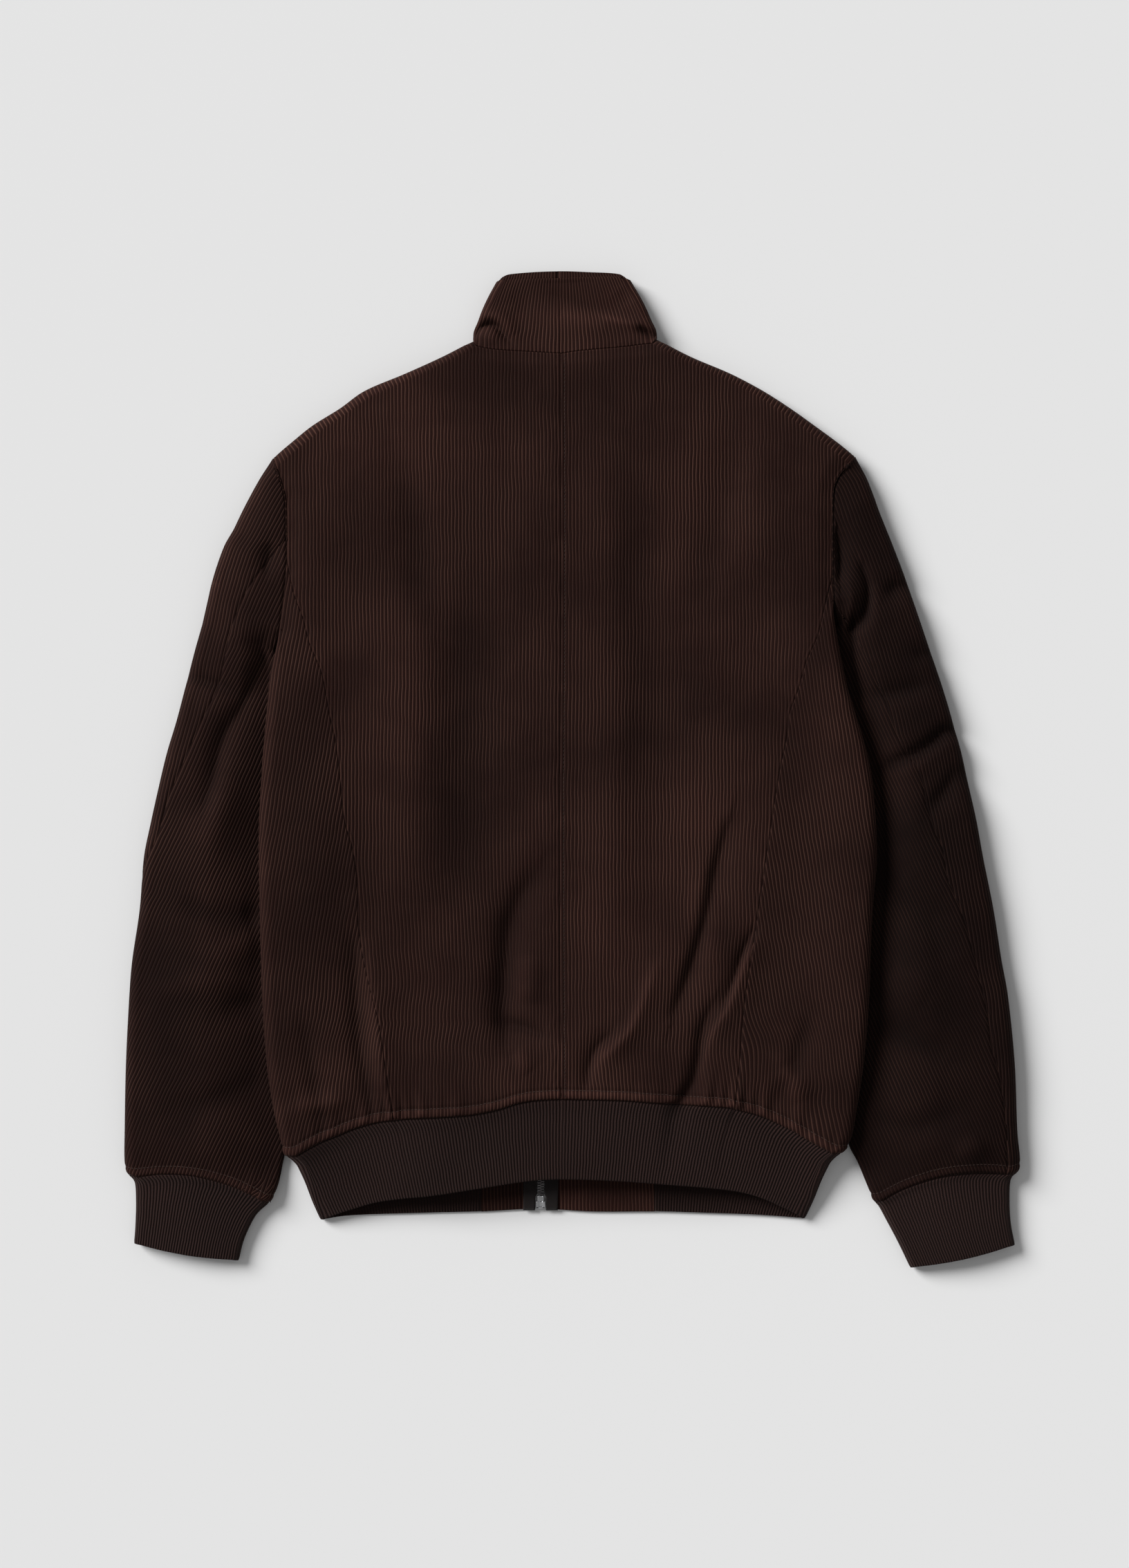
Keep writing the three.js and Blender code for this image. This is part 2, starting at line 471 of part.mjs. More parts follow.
function section(f, rho) {
  const r = ((rho % 6) + 6) % 6;
  const dir = unit(add(f.out, f.in, -1));
  const down = dir[0] < 0 ? [dir[1], -dir[0]] : [-dir[1], dir[0]];   // towards the shoulder
  const inA = add(f.in, dir, f.wi), outA = add(f.out, dir, -f.wo);
  const topZ = (u) => f.zin + (f.zo - f.zin) * ease(0, f.open ? 1 : 0.55, u) + f.crown * 4 * u * (1 - u)
    - (f.neck || 0);
  const topAt = (u) => {
    const q = add(mix(inA, outA, u), down, (f.bow || 0) * 4 * u * (1 - u));
    return [...q, topZ(u) + creases(...q) * (f.open ? ease(0, 0.3, u) : ease(0.05, 0.3, u))];
  };
  if (f.open && (r <= 1 || rho === 6)) {
    if (rho >= 5) return [...f.floor, 0];
    return [...f.in, f.zin];
  }
  if (f.open && r >= 5) return [...f.floor, 0];
  if (r <= 1) {
    const a = (Math.PI / 2) * r, t = topAt(0), m = t[2] / 2;
    return [...add(inA, dir, -f.wi * Math.cos(a)), m + (t[2] - m) * Math.sin(a)];
  }
  if (r <= 2) return topAt(r - 1);
  if (r <= 4) {
    const a = (Math.PI / 2) * (r - 2), t = topAt(1), m = t[2] / 2;
    return [...add(outA, dir, f.wo * Math.sin(a)), Math.max(0, m + m * Math.cos(a))];
  }
  const end = f.open ? f.floor : inA;
  if (r <= 5) {
    const u = r - 4;
    const q = add(mix(outA, end, u), down, ((f.bow || 0) * 0.5 - (f.reach || 0)) * 4 * u * (1 - u));
    return [...q, 0];
  }
  const a = (Math.PI / 2) * (r - 5), m = topAt(0)[2] / 2;
  return [...add(inA, dir, -f.wi * Math.sin(a)), m * (1 - Math.cos(a))];
}
function tubeNormal(frames, i, rho) {
  const f = frames[i];
  const side = (d) => section(f, clamp(rho + d, f.open ? 1e-6 : -9, f.open ? 5.999 : 9));
  let e = 0.04;
  const ring = ((rho % 6) + 6) % 6;
  if (f.open && (rho === 6 || ring >= 5)) return [0, 0, -1];
  if (f.open && ring <= 1) return f.nin;
  if (i === 0 && ring >= 2 && ring <= 4 && frames[0].open) {
    const a = (Math.PI / 2) * (ring - 2), d = unit(add(f.out, f.in, -1));
    return unit([d[0] * Math.sin(a), d[1] * Math.sin(a), Math.cos(a)]);
  }
  const a = frames[Math.max(i - 1, 0)], b = frames[Math.min(i + 1, frames.length - 1)];
  const along = add(section(b.open === f.open ? b : f, rho), section(a.open === f.open ? a : f, rho), -1);
  const across = add(side(e), side(-e), -1);
  let n = unit(cross(across, along));
  const c = section(f, 1.5), m = [c[0], c[1], 7];
  if (dot(n, add(section(f, rho), m, -1)) < 0) n = n.map((v) => -v);
  const r = ((rho % 6) + 6) % 6;
  if (r >= 4 && r <= 5) n = [0, 0, -1];
  return n;
}
function tube(frames, from, to) {
  const lo = Math.min(...frames.map((_, i) => from(i))), hi = Math.max(...frames.map((_, i) => to(i)));
  const st = [];
  for (let k = -1; k <= 1; k++) STATIONS.forEach((v) => st.push(v + 6 * k));
  const cols = st.filter((v, k) => v > lo - 1e-9 && v < hi + 1e-9);
  if (cols[0] > lo) cols.unshift(lo);
  if (cols.at(-1) < hi) cols.push(hi);
  const grid = frames.map((f, i) => cols.map((v) => {
    const rho = clamp(v, from(i), to(i));
    return { p: section(f, rho), n: tubeNormal(frames, i, rho), rho };
  }));
  return { grid, cols };
}
for (const [name, s] of Object.entries(SIDES)) {
  const frames = sleeveFrames(s, name);
  const nOpen = ROWS_ARM + s.rowsLow;
  // Where the back seam crosses each row.
  const cross1 = frames.map((f, i) => {
    if (i <= s.seamRow) return 0;
    let best = [1e9, 1];
    for (let u = 0; u <= 1.0001; u += 0.01) {
      const p = section(f, 1 + u);
      const [r] = off(s.sleeveSeam.fine, p[0], p[1]);
      if (r < best[0]) best = [r, u];
    }
    return 1 + best[1];
  });
  const last = s.sleeveSeam(1)[1];
  const back = frames.map((f, i) => {
    if (!s.turn) return cross1[i];
    const y = section(f, 2)[1];
    return y > last ? cross1[i] : mix(2, 3.25, ease(last, last - 50, y));
  });
  const front = frames.map((f, i) => {
    if (i <= nOpen - 2) return 6;
    const t = (i - nOpen) / (frames.length - 1 - nOpen);
    return 4.8 + (s.turn ? 2.38 * ease(0.72, 1, t) : 0);
  });
  const seamless = (i, j, cols) => Math.abs(cols[j]) < 1e-9 && Math.abs(cols[j + 1]) < 1e-9;
  const up = tube(frames, (i) => back[i], (i) => front[i]);
  mesh(`sleeve_${name}_upper`, 'corduroy', wall(up.grid, {
    flip: s.sign < 0,
    open: (i, j) => (up.grid[i][j].rho >= 6 || up.grid[i][j + 1].rho > 6) && frames[i].open }));
  const under = tube(frames, (i) => front[i] - 6, (i) => back[i]);
  // Split columns at the armhole, so its two edges stay apart.
  const k0 = under.cols.findIndex((v) => Math.abs(v) < 1e-9);
  const grid = under.grid.map((row, i) => {
    const f = frames[i];
    if (!f.open) return [...row.slice(0, k0 + 1), ...row.slice(k0)];
    const lowEdge = { p: [...f.floor, 0], n: [0, 0, -1], rho: 0 };
    const lowRow = row.slice(0, k0 + 1).map((g) => (g.rho > -1 ? lowEdge : g));
    return [...lowRow, ...row.slice(k0)];
  });
  mesh(`sleeve_${name}_under`, 'corduroy', wall(grid, { flip: s.sign < 0, open: (i, j) => j === k0 }));

  const cuff = cuffFrames(s);
  const lastRow = frames.length - 1;
  const marks = [...new Set([...STATIONS.slice(0, -1), back[lastRow] % 6, front[lastRow] % 6])]
    .sort((a, b) => a - b);
  marks.push(6);
  const sleeveEnd = (rho) => ({ p: section(frames[lastRow], rho), n: tubeNormal(frames, lastRow, rho) });
  const cgrid = cuff.map((f, i) => marks.map((rho) => (i === 0 ? sleeveEnd(rho)
    : { p: section(f, rho), n: tubeNormal(cuff, i, rho) })));
  mesh(`cuff_${name}`, 'rib_knit', wall(cgrid, { flip: s.sign < 0 }));
}

// Hem band: starts at the body's last row, tab to tab round the back.
const HEM_BACK = path([[462, 1767], [504, 1752], [543, 1740], [581, 1734], [620, 1730], [683, 1720],
  [766, 1707], [811, 1704.5], [890, 1707], [973, 1713.5], [1056, 1722], [1097, 1732],
  [1135, 1749], [1166, 1765]]);
const HEM_FRONT = path([[462, 1767], [504, 1761], [620, 1757], [696, 1755], [778, 1751],
  [857, 1755], [947, 1755], [1015, 1757], [1097, 1760], [1166, 1765]]);
const yAt = (f, x) => {
  const q = f.fine;
  for (let i = 0; i < q.length - 1; i++) {
    if ((q[i][0] - x) * (q[i + 1][0] - x) <= 0) {
      return mix(q[i][1], q[i + 1][1], (x - q[i][0]) / (q[i + 1][0] - q[i][0] || 1));
    }
  }
  return x < 0 ? q[0][1] : q.at(-1)[1];
};
const RIB_ROWS = [{ t: 0, in: 0, drop: 0 }, { t: 0.1, in: 5.5, drop: 2.2 }, { t: 0.4, in: 4.5, drop: 1 },
  { t: 0.72, in: 1.5, drop: 0 }, { t: 1, in: 0, drop: 0 }];
const topCorner = [at([412, 1671]), at([1219, 1667])], lowCorner = [at([462, 1767]), at([1166, 1765])];
function bandDown(g, kind, s, u) {
  // Foot of one column of the hem band; kind is back, arc or front.
  const [x] = g.p;
  const k = (x - topCorner[0][0]) / (topCorner[1][0] - topCorner[0][0]);
  const bx = mix(lowCorner[0][0], lowCorner[1][0], clamp(k, 0.004, 0.996));
  const centre = 1 - Math.abs(2 * k - 1) ** 2.2;
  if (kind === 'back') return [bx, yAt(HEM_BACK, bx), 7 + 17 * centre];
  const c = s.sign < 0 ? lowCorner[0] : lowCorner[1];
  if (kind === 'front') {
    const fx = mix(c[0], s.tabX, (x - s.topX) / (s.tabX - s.topX));
    return [fx, yAt(HEM_FRONT, fx), 0];
  }
  return [c[0] - s.sign * 3 * (1 - Math.sin(u)), c[1] + 0.5, 3.3 + 3.3 * Math.cos(u)];
}
function bandColumn(g, foot, kind, s, u) {
  const side = kind === 'front' ? (g.p[0] - s.tabX) / (s.topX - s.tabX) : Math.abs(g.p[0] + 7) / 242;
  return RIB_ROWS.map((r) => {
    const p = mix(g.p, foot, r.t);
    p[0] -= s.sign * Math.max(0, side) ** 1.5 * r.in;
    if (foot[2] > 0.01) p[2] -= r.drop; else p[2] = g.p[2] * (1 - ease(0, 0.4, r.t));
    if (kind === 'arc' && r.t > 0.05) return { p, n: unit([s.sign * Math.sin(u), 0, Math.cos(u)]) };
    return { p, n: kind === 'front' && r.t > 0.35 ? [0, 0, -1] : undefined };
  });
}
const hemCols = [];
for (const [name, s] of Object.entries(SIDES)) {
  const b = body[name];
  s.tabX = b.front.at(-1)[7].p[0];
  s.topX = topCorner[s.sign < 0 ? 0 : 1][0];
  const last = b.side.at(-1), flat = s.rowsLow, fr = b.front.at(-1), bk = b.grid.at(-1);
  const list = [];
  for (let j = 7; j >= 0; j--) list.push([fr[j], 'front']);
  for (let j = last.length - 2; j > flat + 6; j--) list.push([last[j], 'front']);
  for (let k = 6; k >= 0; k--) list.push([last[flat + k], 'arc', (Math.PI * k) / 6]);
  for (let j = flat - 1; j >= 1; j--) list.push([last[j], 'back']);
  for (let j = 0; j < bk.length; j++) list.push([bk[j], 'back']);
  const cols = list.map(([g, kind, u]) => {
    const col = bandColumn(g, bandDown(g, kind, s, u), kind, s, u);
    col[0] = { p: g.p, n: g.n };
    return col;
  });
  if (s.sign < 0) hemCols.push(...cols); else hemCols.push(...cols.reverse().slice(1));
}
function bandNormals(cols, sense) {
  const n = cols.length, m = cols[0].length;
  for (let j = 0; j < n; j++) {
    for (let i = 0; i < m; i++) {
      if (cols[j][i].n) continue;
      const a = cols[Math.max(j - 1, 0)][i].p, b = cols[Math.min(j + 1, n - 1)][i].p;
      const c = cols[j][Math.max(i - 1, 0)].p, d = cols[j][Math.min(i + 1, m - 1)].p;
      cols[j][i].n = unit(cross(add(b, a, -1), add(d, c, -1)).map((v) => v * sense));
    }
  }
}
bandNormals(hemCols, -1);
const rows = (cols) => count(cols[0].length, (i) => cols.map((c) => c[i]));
mesh('hem_rib', 'rib_knit', wall(rows(hemCols), { thick: WALL, flip: false }));

// Hem tabs beside the zip.
for (const [name, s] of Object.entries(SIDES)) {
  const fr = body[name].front.at(-1).slice(7);
  const cols = fr.map((g) => RIB_ROWS.map((r) => {
    const x = s.sign < 0 ? Math.min(g.p[0], xAt(ZIP, -385) - ZIP_HALF) : Math.max(g.p[0], xAt(ZIP, -385) + ZIP_HALF);
    return { p: [mix(g.p[0], x, r.t), mix(g.p[1], yAt(HEM_FRONT, x), r.t), 0], n: [0, 0, -1] };
  }));
  mesh(`hem_tab_${name}`, 'corduroy', wall(rows(cols), { flip: s.sign < 0 }));
}

// Collar: starts at the neck seam, one strip from zip to zip round the back.
const COLLAR_BACK = path([[719, 406], [730, 404.5], [806, 402], [895.5, 400], [911, 404]]);
const COLLAR_FRONT = path([[719, 405], [726, 399], [739, 395], [806, 390.6], [851, 392], [895.5, 395], [911, 403]]);
const COLLAR_ROWS = 6;
const neckEnds = [at([684, 492]), at([951, 490])], topEnds = [at([718, 406]), at([912, 404])];
const collarCols = [];
for (const [name, s] of Object.entries(SIDES)) {
  const b = body[name];
  const list = [];
  const nf = b.front[0];
  for (let j = nf.length - 1; j > COLS_SHOULDER; j--) list.push([nf[j], 'front']);
  list.push([b.cap[0][COLS_SHOULDER], 'front']);
  for (let k = 1; k < b.cap.length; k++) list.push([b.cap[k][COLS_SHOULDER], 'arc', Math.PI * (1 - (k - 1) / 6)]);
  list.push([b.grid[0][COLS_SHOULDER], 'arc', 0]);
  for (let j = COLS_SHOULDER + 1; j < b.grid[0].length; j++) list.push([b.grid[0][j], 'back']);
  const cols = list.map(([g, kind, u]) => {
    const k = clamp((g.p[0] - neckEnds[0][0]) / (neckEnds[1][0] - neckEnds[0][0]), 0.07, 0.93);
    const x = mix(topEnds[0][0], topEnds[1][0], k);
    let foot;
    if (kind === 'arc') {
      const c = topEnds[s.sign < 0 ? 0 : 1];
      foot = [c[0] - s.sign * 4.5 * (1 - Math.sin(u)), c[1] - 0.6, 7 + 7 * Math.cos(u)];
    } else if (kind === 'back') foot = [x, yAt(COLLAR_BACK, x), 14.5];
    else foot = [x, yAt(COLLAR_FRONT, x), 0];
    return count(COLLAR_ROWS + 1, (i) => {
      const t = i / COLLAR_ROWS;
      const p = mix(g.p, foot, t);
      p[0] += (k - 0.5) * 2 * 3.2 * Math.sin(Math.PI * t);
      if (kind === 'front') {
        const zx = xAt(ZIP, p[1]) + s.sign * ZIP_HALF;
        if (j0(g, nf)) p[0] = zx;
        p[2] = zipLift(p[0], p[1]);
      } else if (kind === 'back') p[2] += creases(p[0], p[1]) * Math.sin(Math.PI * clamp(t, 0, 1));
      if (i === 0) return { p, n: g.n };
      if (kind === 'front') return { p, n: floorNormal(p[0], p[1]) };
      return { p, n: kind === 'arc' ? unit([s.sign * Math.sin(u), 0, Math.cos(u)]) : undefined };
    });
  });
  if (s.sign < 0) collarCols.push(...cols); else collarCols.push(...cols.reverse().slice(1));
}
function j0(g, row) { return g === row.at(-1); }
bandNormals(collarCols, 1);
mesh('collar', 'corduroy', wall(rows(collarCols), { flip: true }));

// Zip, seen along its middle line: tapes, chain, box, pin, slider and pull tab.
const ZIP_TOP = at([0, 411])[1], ZIP_END = at([0, 1753])[1], BOX_TOP = at([0, 1731.5])[1];
const liftAt = (y) => zipLift(xAt(ZIP, y), y);
function strip(x0, x1, z0, z1, ys) {
  // A bar of four-sided section along the zip line.
  const points = [], index = [];
  ys.forEach((y) => {
    const c = xAt(ZIP, y), l = liftAt(y);
    const a = typeof x0 === 'function' ? x0(y) : x0, b = typeof x1 === 'function' ? x1(y) : x1;
    points.push([c + a, y, l + z0], [c + b, y, l + z0], [c + b, y, l + z1], [c + a, y, l + z1]);
  });
  for (let i = 0; i < ys.length - 1; i++) {
    for (let k = 0; k < 4; k++) {
      const a = 4 * i + k, b = 4 * i + ((k + 1) % 4);
      index.push([a, a + 4, b], [b, a + 4, b + 4]);
    }
  }
  const e = 4 * (ys.length - 1);
  index.push([0, 1, 2], [0, 2, 3], [e, e + 2, e + 1], [e, e + 3, e + 2]);
  return { points, index };
}
const levels = (a, b, n) => count(n + 1, (i) => mix(a, b, i / n));
const TAPE_Z = WALL + 0.25, CHAIN_Z = WALL - 0.75;
const tapeYs = [...levels(ZIP_END, BOX_TOP - 0.2, 2), ...levels(BOX_TOP + 0.2, 260, 12),
  ...levels(275, 405, 9), at([0, 401])[1]];
for (const [name, s] of Object.entries(SIDES)) {
  const inner = (y) => s.sign * (y < BOX_TOP ? 4.7 : 3.05);
  const outer = () => s.sign * 15;
  mesh(`zip_tape_${name}`, 'zip_tape', s.sign < 0
    ? strip(outer, inner, TAPE_Z, TAPE_Z + 0.6, tapeYs) : strip(inner, outer, TAPE_Z, TAPE_Z + 0.6, tapeYs));
}
mesh('zip_chain', 'zip_metal', strip(-2.9, 2.9, CHAIN_Z, CHAIN_Z + 2.4,
  [...levels(BOX_TOP + 0.3, 260, 12), ...levels(275, ZIP_TOP - 3.5, 8)]));

const { Manifold } = await Module().then((m) => { m.setup(); return m; });
const box = (x0, x1, y0, y1, z0, z1) => Manifold.cube([x1 - x0, y1 - y0, z1 - z0]).translate([x0, y0, z0]);
function solid(name, look, m) {
  const d = m.getMesh();
  const points = count(d.numVert, (i) => [...d.vertProperties.slice(i * d.numProp, i * d.numProp + 3)]);
  const index = count(d.numTri, (i) => [...d.triVerts.slice(i * 3, i * 3 + 3)]);
  mesh(name, look, { points, index });
}
const bx = xAt(ZIP, (ZIP_END + BOX_TOP) / 2);
solid('zip_box', 'zip_metal', box(bx - 4, bx + 4, BOX_TOP - 11.2, BOX_TOP, 1.1, 5.3)
  .subtract(box(bx - 2.6, bx - 0.4, BOX_TOP - 7, BOX_TOP + 1, 2, 6)));
solid('zip_pin', 'zip_metal', box(bx - 2.4, bx - 0.6, BOX_TOP - 6.8, BOX_TOP - 0.1, 2.2, 4.6));
const SX = xAt(ZIP, ZIP_TOP), SY = ZIP_TOP - 5;       // slider's middle
const SZ = 2.6;                                       // underside of its lower plate
const HINGE = [SX, SY, SZ - 1];
solid('zip_slider', 'zip_metal', box(SX - 4.2, SX + 4.2, SY - 5, SY + 5, SZ, SZ + 0.8)
  .add(box(SX - 4.2, SX + 4.2, SY - 5, SY + 5, SZ + 3.7, SZ + 4.5))
  .add(box(SX - 1.2, SX + 1.2, SY + 3.2, SY + 5, SZ + 0.4, SZ + 4.1))
  .add(box(SX - 0.8, SX + 0.8, SY - 3.6, SY - 2.6, SZ - 2.5, SZ + 0.4))
  .add(box(SX - 0.8, SX + 0.8, SY + 2.6, SY + 3.6, SZ - 2.5, SZ + 0.4))
  .add(box(SX - 0.8, SX + 0.8, SY - 3.6, SY + 3.6, SZ - 2.5, SZ - 1.8)));
solid('zip_pull', 'zip_metal', box(SX - 2.75, SX + 2.75, HINGE[1] - 26, HINGE[1] + 0.55, SZ - 1.5, SZ - 0.5)
  .subtract(box(SX - 1.25, SX + 1.25, HINGE[1] - 4.6, HINGE[1] - 0.55, SZ - 2, SZ)));

export default group;
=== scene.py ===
# A brown corduroy jacket with a zip front, ribbed hem and cuffs, laid face down.
# The tables are in drawing units of UNIT mm, x to the right and y towards the hem.
# Shapes are worked out in mm and made in metres.
import json
import math

import bmesh
import bpy
import numpy as np
from mathutils import Matrix, Vector

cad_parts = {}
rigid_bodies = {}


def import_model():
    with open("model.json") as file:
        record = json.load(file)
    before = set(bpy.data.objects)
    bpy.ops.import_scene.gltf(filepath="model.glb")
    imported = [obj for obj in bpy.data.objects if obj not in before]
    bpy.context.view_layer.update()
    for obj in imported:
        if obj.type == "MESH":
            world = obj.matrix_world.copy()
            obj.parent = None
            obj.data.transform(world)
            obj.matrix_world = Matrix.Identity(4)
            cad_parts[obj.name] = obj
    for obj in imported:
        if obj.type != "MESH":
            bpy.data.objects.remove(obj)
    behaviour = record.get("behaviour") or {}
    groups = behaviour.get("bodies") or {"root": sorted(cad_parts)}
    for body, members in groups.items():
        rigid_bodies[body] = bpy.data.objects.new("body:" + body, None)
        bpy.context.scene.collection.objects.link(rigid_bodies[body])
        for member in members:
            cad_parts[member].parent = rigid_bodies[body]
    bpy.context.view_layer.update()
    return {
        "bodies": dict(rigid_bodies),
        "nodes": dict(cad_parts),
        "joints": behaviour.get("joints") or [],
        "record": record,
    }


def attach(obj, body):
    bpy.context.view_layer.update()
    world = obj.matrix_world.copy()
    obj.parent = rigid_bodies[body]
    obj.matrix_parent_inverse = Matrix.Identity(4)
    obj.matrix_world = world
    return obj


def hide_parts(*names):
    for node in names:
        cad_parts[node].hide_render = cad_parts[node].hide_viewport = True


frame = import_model()

UNIT = 0.6             # mm in a drawing unit
MID_X, MID_Y = 827, 1113  # the garment's middle in drawing units
LOFT = 19.5            # upper face of the back above the floor
SIDE_RISE = 6          # extra height where the body lies on the sleeves
HEM_SWELL = 4.5        # extra height of the body's middle just above the hem
CORNER_DIP = 2.5       # drop of the body's corners there
ARM_DIP, NECK_DIP = 2.2, 1.6  # drop of the back beside the armhole and the neck seam
HEM_HIGH, HEM_LOW = 24, 7  # lower edge of the band in the middle and at its corners
SLEEVE_HIGH = 18.5     # upper side of a sleeve at its outer fold
COLLAR_HIGH = 14.5     # upper edge of the collar
SIDE_LOW = 9.5         # underside of the side fold
FOLD_W = 10            # plan width of the side fold's round
SHOULDER_W, NECK_W = 9, 6  # plan width of the shoulder fold at the armhole and at the neck
SEAM_IN = 6            # shoulder seam inside the fold, underneath
ZIP_HALF = 4.5         # from the zip's middle to the edge of a front
ZIP_LIFT = 1.75        # rise of the fronts towards the slider
ROWS_ARM, ROWS_SIDE = 8, 16  # the solids' rows along the armhole and along the side
SIDE_TOP, SIDE_ARC, SIDE_UNDER = 44, 16, 16  # a side panel's columns above, round and below
CAP_SEAM, CAP_ARC = 3, 14  # a back panel's rows below the shoulder fold and round it
HEM_STITCH, CUFF_STITCH, CENTRE_STITCH = 8.4, 8.0, 3.4  # from a seam to its stitching
STITCH, STITCH_GAP, STITCH_WIDE = 2.7, 0.7, 0.42
TAPE_THICK = 0.6
WALL = 2.6             # the solids' wall
CLOTH = 1.9            # corduroy
KNIT = 2.1             # ribbing
WALE = 3.08            # wale pitch
RIB = 2.65             # knit rib pitch
TAU = math.tau
SHOULDER_SHARE = 2 / 3  # of a back or front panel's columns, the rest are at the neck
TAB_SHARE = 7 / 12     # of a front's columns at the hem, where its tab begins
# Painted light and shade of each piece: how much lighter or darker its cloth is drawn.
PIECE_PAINTED_LIGHT = {"side_left": 0.93, "side_right": 0.81, "sleeve_left": 0.72, "sleeve_right": 0.42,
        "hem_tab_left": 1.0, "hem_tab_right": 1.6, "collar": 1.22}


# Lines and places

def at(places):
    """Places in drawing units as mm from the middle."""
    p = np.asarray(places, float)
    return np.stack([(p[..., 0] - MID_X) * UNIT, (MID_Y - p[..., 1]) * UNIT], -1)


def unit(v):
    """Directions of length 1."""
    return v / np.maximum(np.linalg.norm(v, axis=-1, keepdims=True), 1e-9)


def ease(a, b, x):
    """0 at a and 1 at b, smooth between them."""
    t = np.clip((np.asarray(x, float) - a) / (b - a), 0, 1)
    return t * t * (3 - 2 * t)


def mix(a, b, t):
    """a at 0 and b at 1, straight between them."""
    return a + (b - a) * t


class Line:
    """A smooth line through places, called with 0 to 1 of its length."""

    def __init__(self, places, mm=False):
        p = np.asarray(places, float) if mm else at(places)
        t = np.linspace(0, 1, 10, endpoint=False)[:, None]
        fine = []
        for i in range(len(p) - 1):
            a, b, c, d = p[max(i - 1, 0)], p[i], p[i + 1], p[min(i + 2, len(p) - 1)]
            size = np.linalg.norm(c - b)
            m0, m1 = unit(c - a) * size, unit(d - b) * size
            fine.append((2 * t**3 - 3 * t**2 + 1) * b + (t**3 - 2 * t**2 + t) * m0
                        + (3 * t**2 - 2 * t**3) * c + (t**3 - t**2) * m1)
        self.fine = np.vstack(fine + [p[-1:]])
        self.run = np.r_[0, np.cumsum(np.linalg.norm(np.diff(self.fine, axis=0), axis=1))]
        self.by_y = self.fine[np.argsort(self.fine[:, 1])]
        self.by_x = self.fine[np.argsort(self.fine[:, 0])]

    def __call__(self, t):
        s = np.clip(t, 0, 1) * self.run[-1]
        return np.stack([np.interp(s, self.run, self.fine[:, k]) for k in (0, 1)], -1)

    def x_at(self, y):
        return np.interp(y, self.by_y[:, 1], self.by_y[:, 0])

    def y_at(self, x):
        return np.interp(x, self.by_x[:, 0], self.by_x[:, 1])


def through(points, t):
    """Smooth values through evenly numbered points, t from 0 to 1."""
    p = np.asarray(points, float)
    n = len(p) - 1
    s = np.clip(np.asarray(t, float), 0, 1) * n
    i = np.minimum(s.astype(int), n - 1)
    f = (s - i)[..., None]
    a, b, c, d = p[np.maximum(i - 1, 0)], p[i], p[i + 1], p[np.minimum(i + 2, n)]
    m0, m1 = (c - a) / 2, (d - b) / 2
    return ((2 * f**3 - 3 * f**2 + 1) * b + (f**3 - 2 * f**2 + f) * m0
            + (3 * f**2 - 2 * f**3) * c + (f**3 - f**2) * m1)


def steps(points, t):
    """The same in straight steps."""
    p = np.asarray(points, float)
    s = np.clip(t, 0, 1) * (len(p) - 1)
    return np.stack([np.interp(s, np.arange(len(p)), p[:, k]) for k in range(p.shape[1])], -1)


def off(line, x, y):
    """Distance to a line, how far along it, and on which side."""
    best = np.full(np.shape(x), 1e9)
    along, side = np.zeros(np.shape(x)), np.zeros(np.shape(x))
    n = len(line) - 1
    for i in range(n):
        a, d = line[i], line[i + 1] - line[i]
        t = np.clip(((x - a[0]) * d[0] + (y - a[1]) * d[1]) / max(d @ d, 1e-9), 0, 1)
        rx, ry = x - a[0] - t * d[0], y - a[1] - t * d[1]
        r = np.hypot(rx, ry)
        near = r < best
        best, along = np.where(near, r, best), np.where(near, (i + t) / n, along)
        side = np.where(near, np.sign(d[0] * ry - d[1] * rx), side)
    return best, along, side


def spread(n, tight=0.7):
    """0 to 1 in n places, closer together at both ends."""
    t = np.linspace(0, 1, n)
    return t - tight * np.sin(TAU * t) / TAU


# Painted light and shade, in patches where the cloth is drawn lighter or darker: middle, reach
# across and down, share.
PAINTED_LIGHT_PATCHES = [(600, 640, 170, 80, 0.38), (1030, 700, 120, 110, 0.22), (680, 1050, 52, 260, -0.24),
       (905, 860, 40, 210, -0.16), (560, 1030, 44, 220, 0.10), (990, 1000, 48, 160, -0.10),
       (1010, 1190, 60, 70, 0.25), (900, 1370, 70, 80, 0.22), (445, 1230, 34, 190, -0.12),
       (1195, 1010, 40, 130, 0.16), (620, 1420, 50, 110, 0.14), (800, 560, 120, 40, -0.08),
       (1110, 1560, 50, 60, 0.20), (450, 1590, 50, 40, 0.16), (320, 720, 40, 60, 0.32),
       (300, 860, 50, 70, 0.42), (250, 1520, 60, 170, -0.22), (1330, 1300, 60, 220, -0.26),
       (1300, 1120, 60, 60, 0.20), (1335, 900, 50, 60, 0.14), (250, 1250, 40, 70, -0.12),
       (820, 462, 90, 16, 0.20), (740, 1560, 50, 30, 0.22)]


def painted_light_tone(x, y):
    """Painted light and shade at places in mm, 1 where nothing is painted."""
    t = np.ones(np.shape(x))
    for px, py, rx, ry, share in PAINTED_LIGHT_PATCHES:
        a, b = at((px, py))
        t = t + share * np.exp(-(((x - a) / (rx * UNIT)) ** 2 + ((y - b) / (ry * UNIT)) ** 2))
    return np.clip(t, 0.4, 1.6)


def run_along(p, axis):
    """Length from the first place along an axis of a grid of places."""
    d = np.linalg.norm(np.diff(p, axis=axis), axis=-1)
    pad = [(0, 0), (0, 0)]
    pad[axis] = (1, 0)
    return np.pad(np.cumsum(d, axis=axis), pad)


# The cut, as in the solids: seams, folds and edges of each side from the collar to the hem.
# rows_low counts the rows of the armhole below its front fold, seam_row is the row where the
# sleeve's back seam leaves the armhole, and turn says that this seam passes the outer fold.

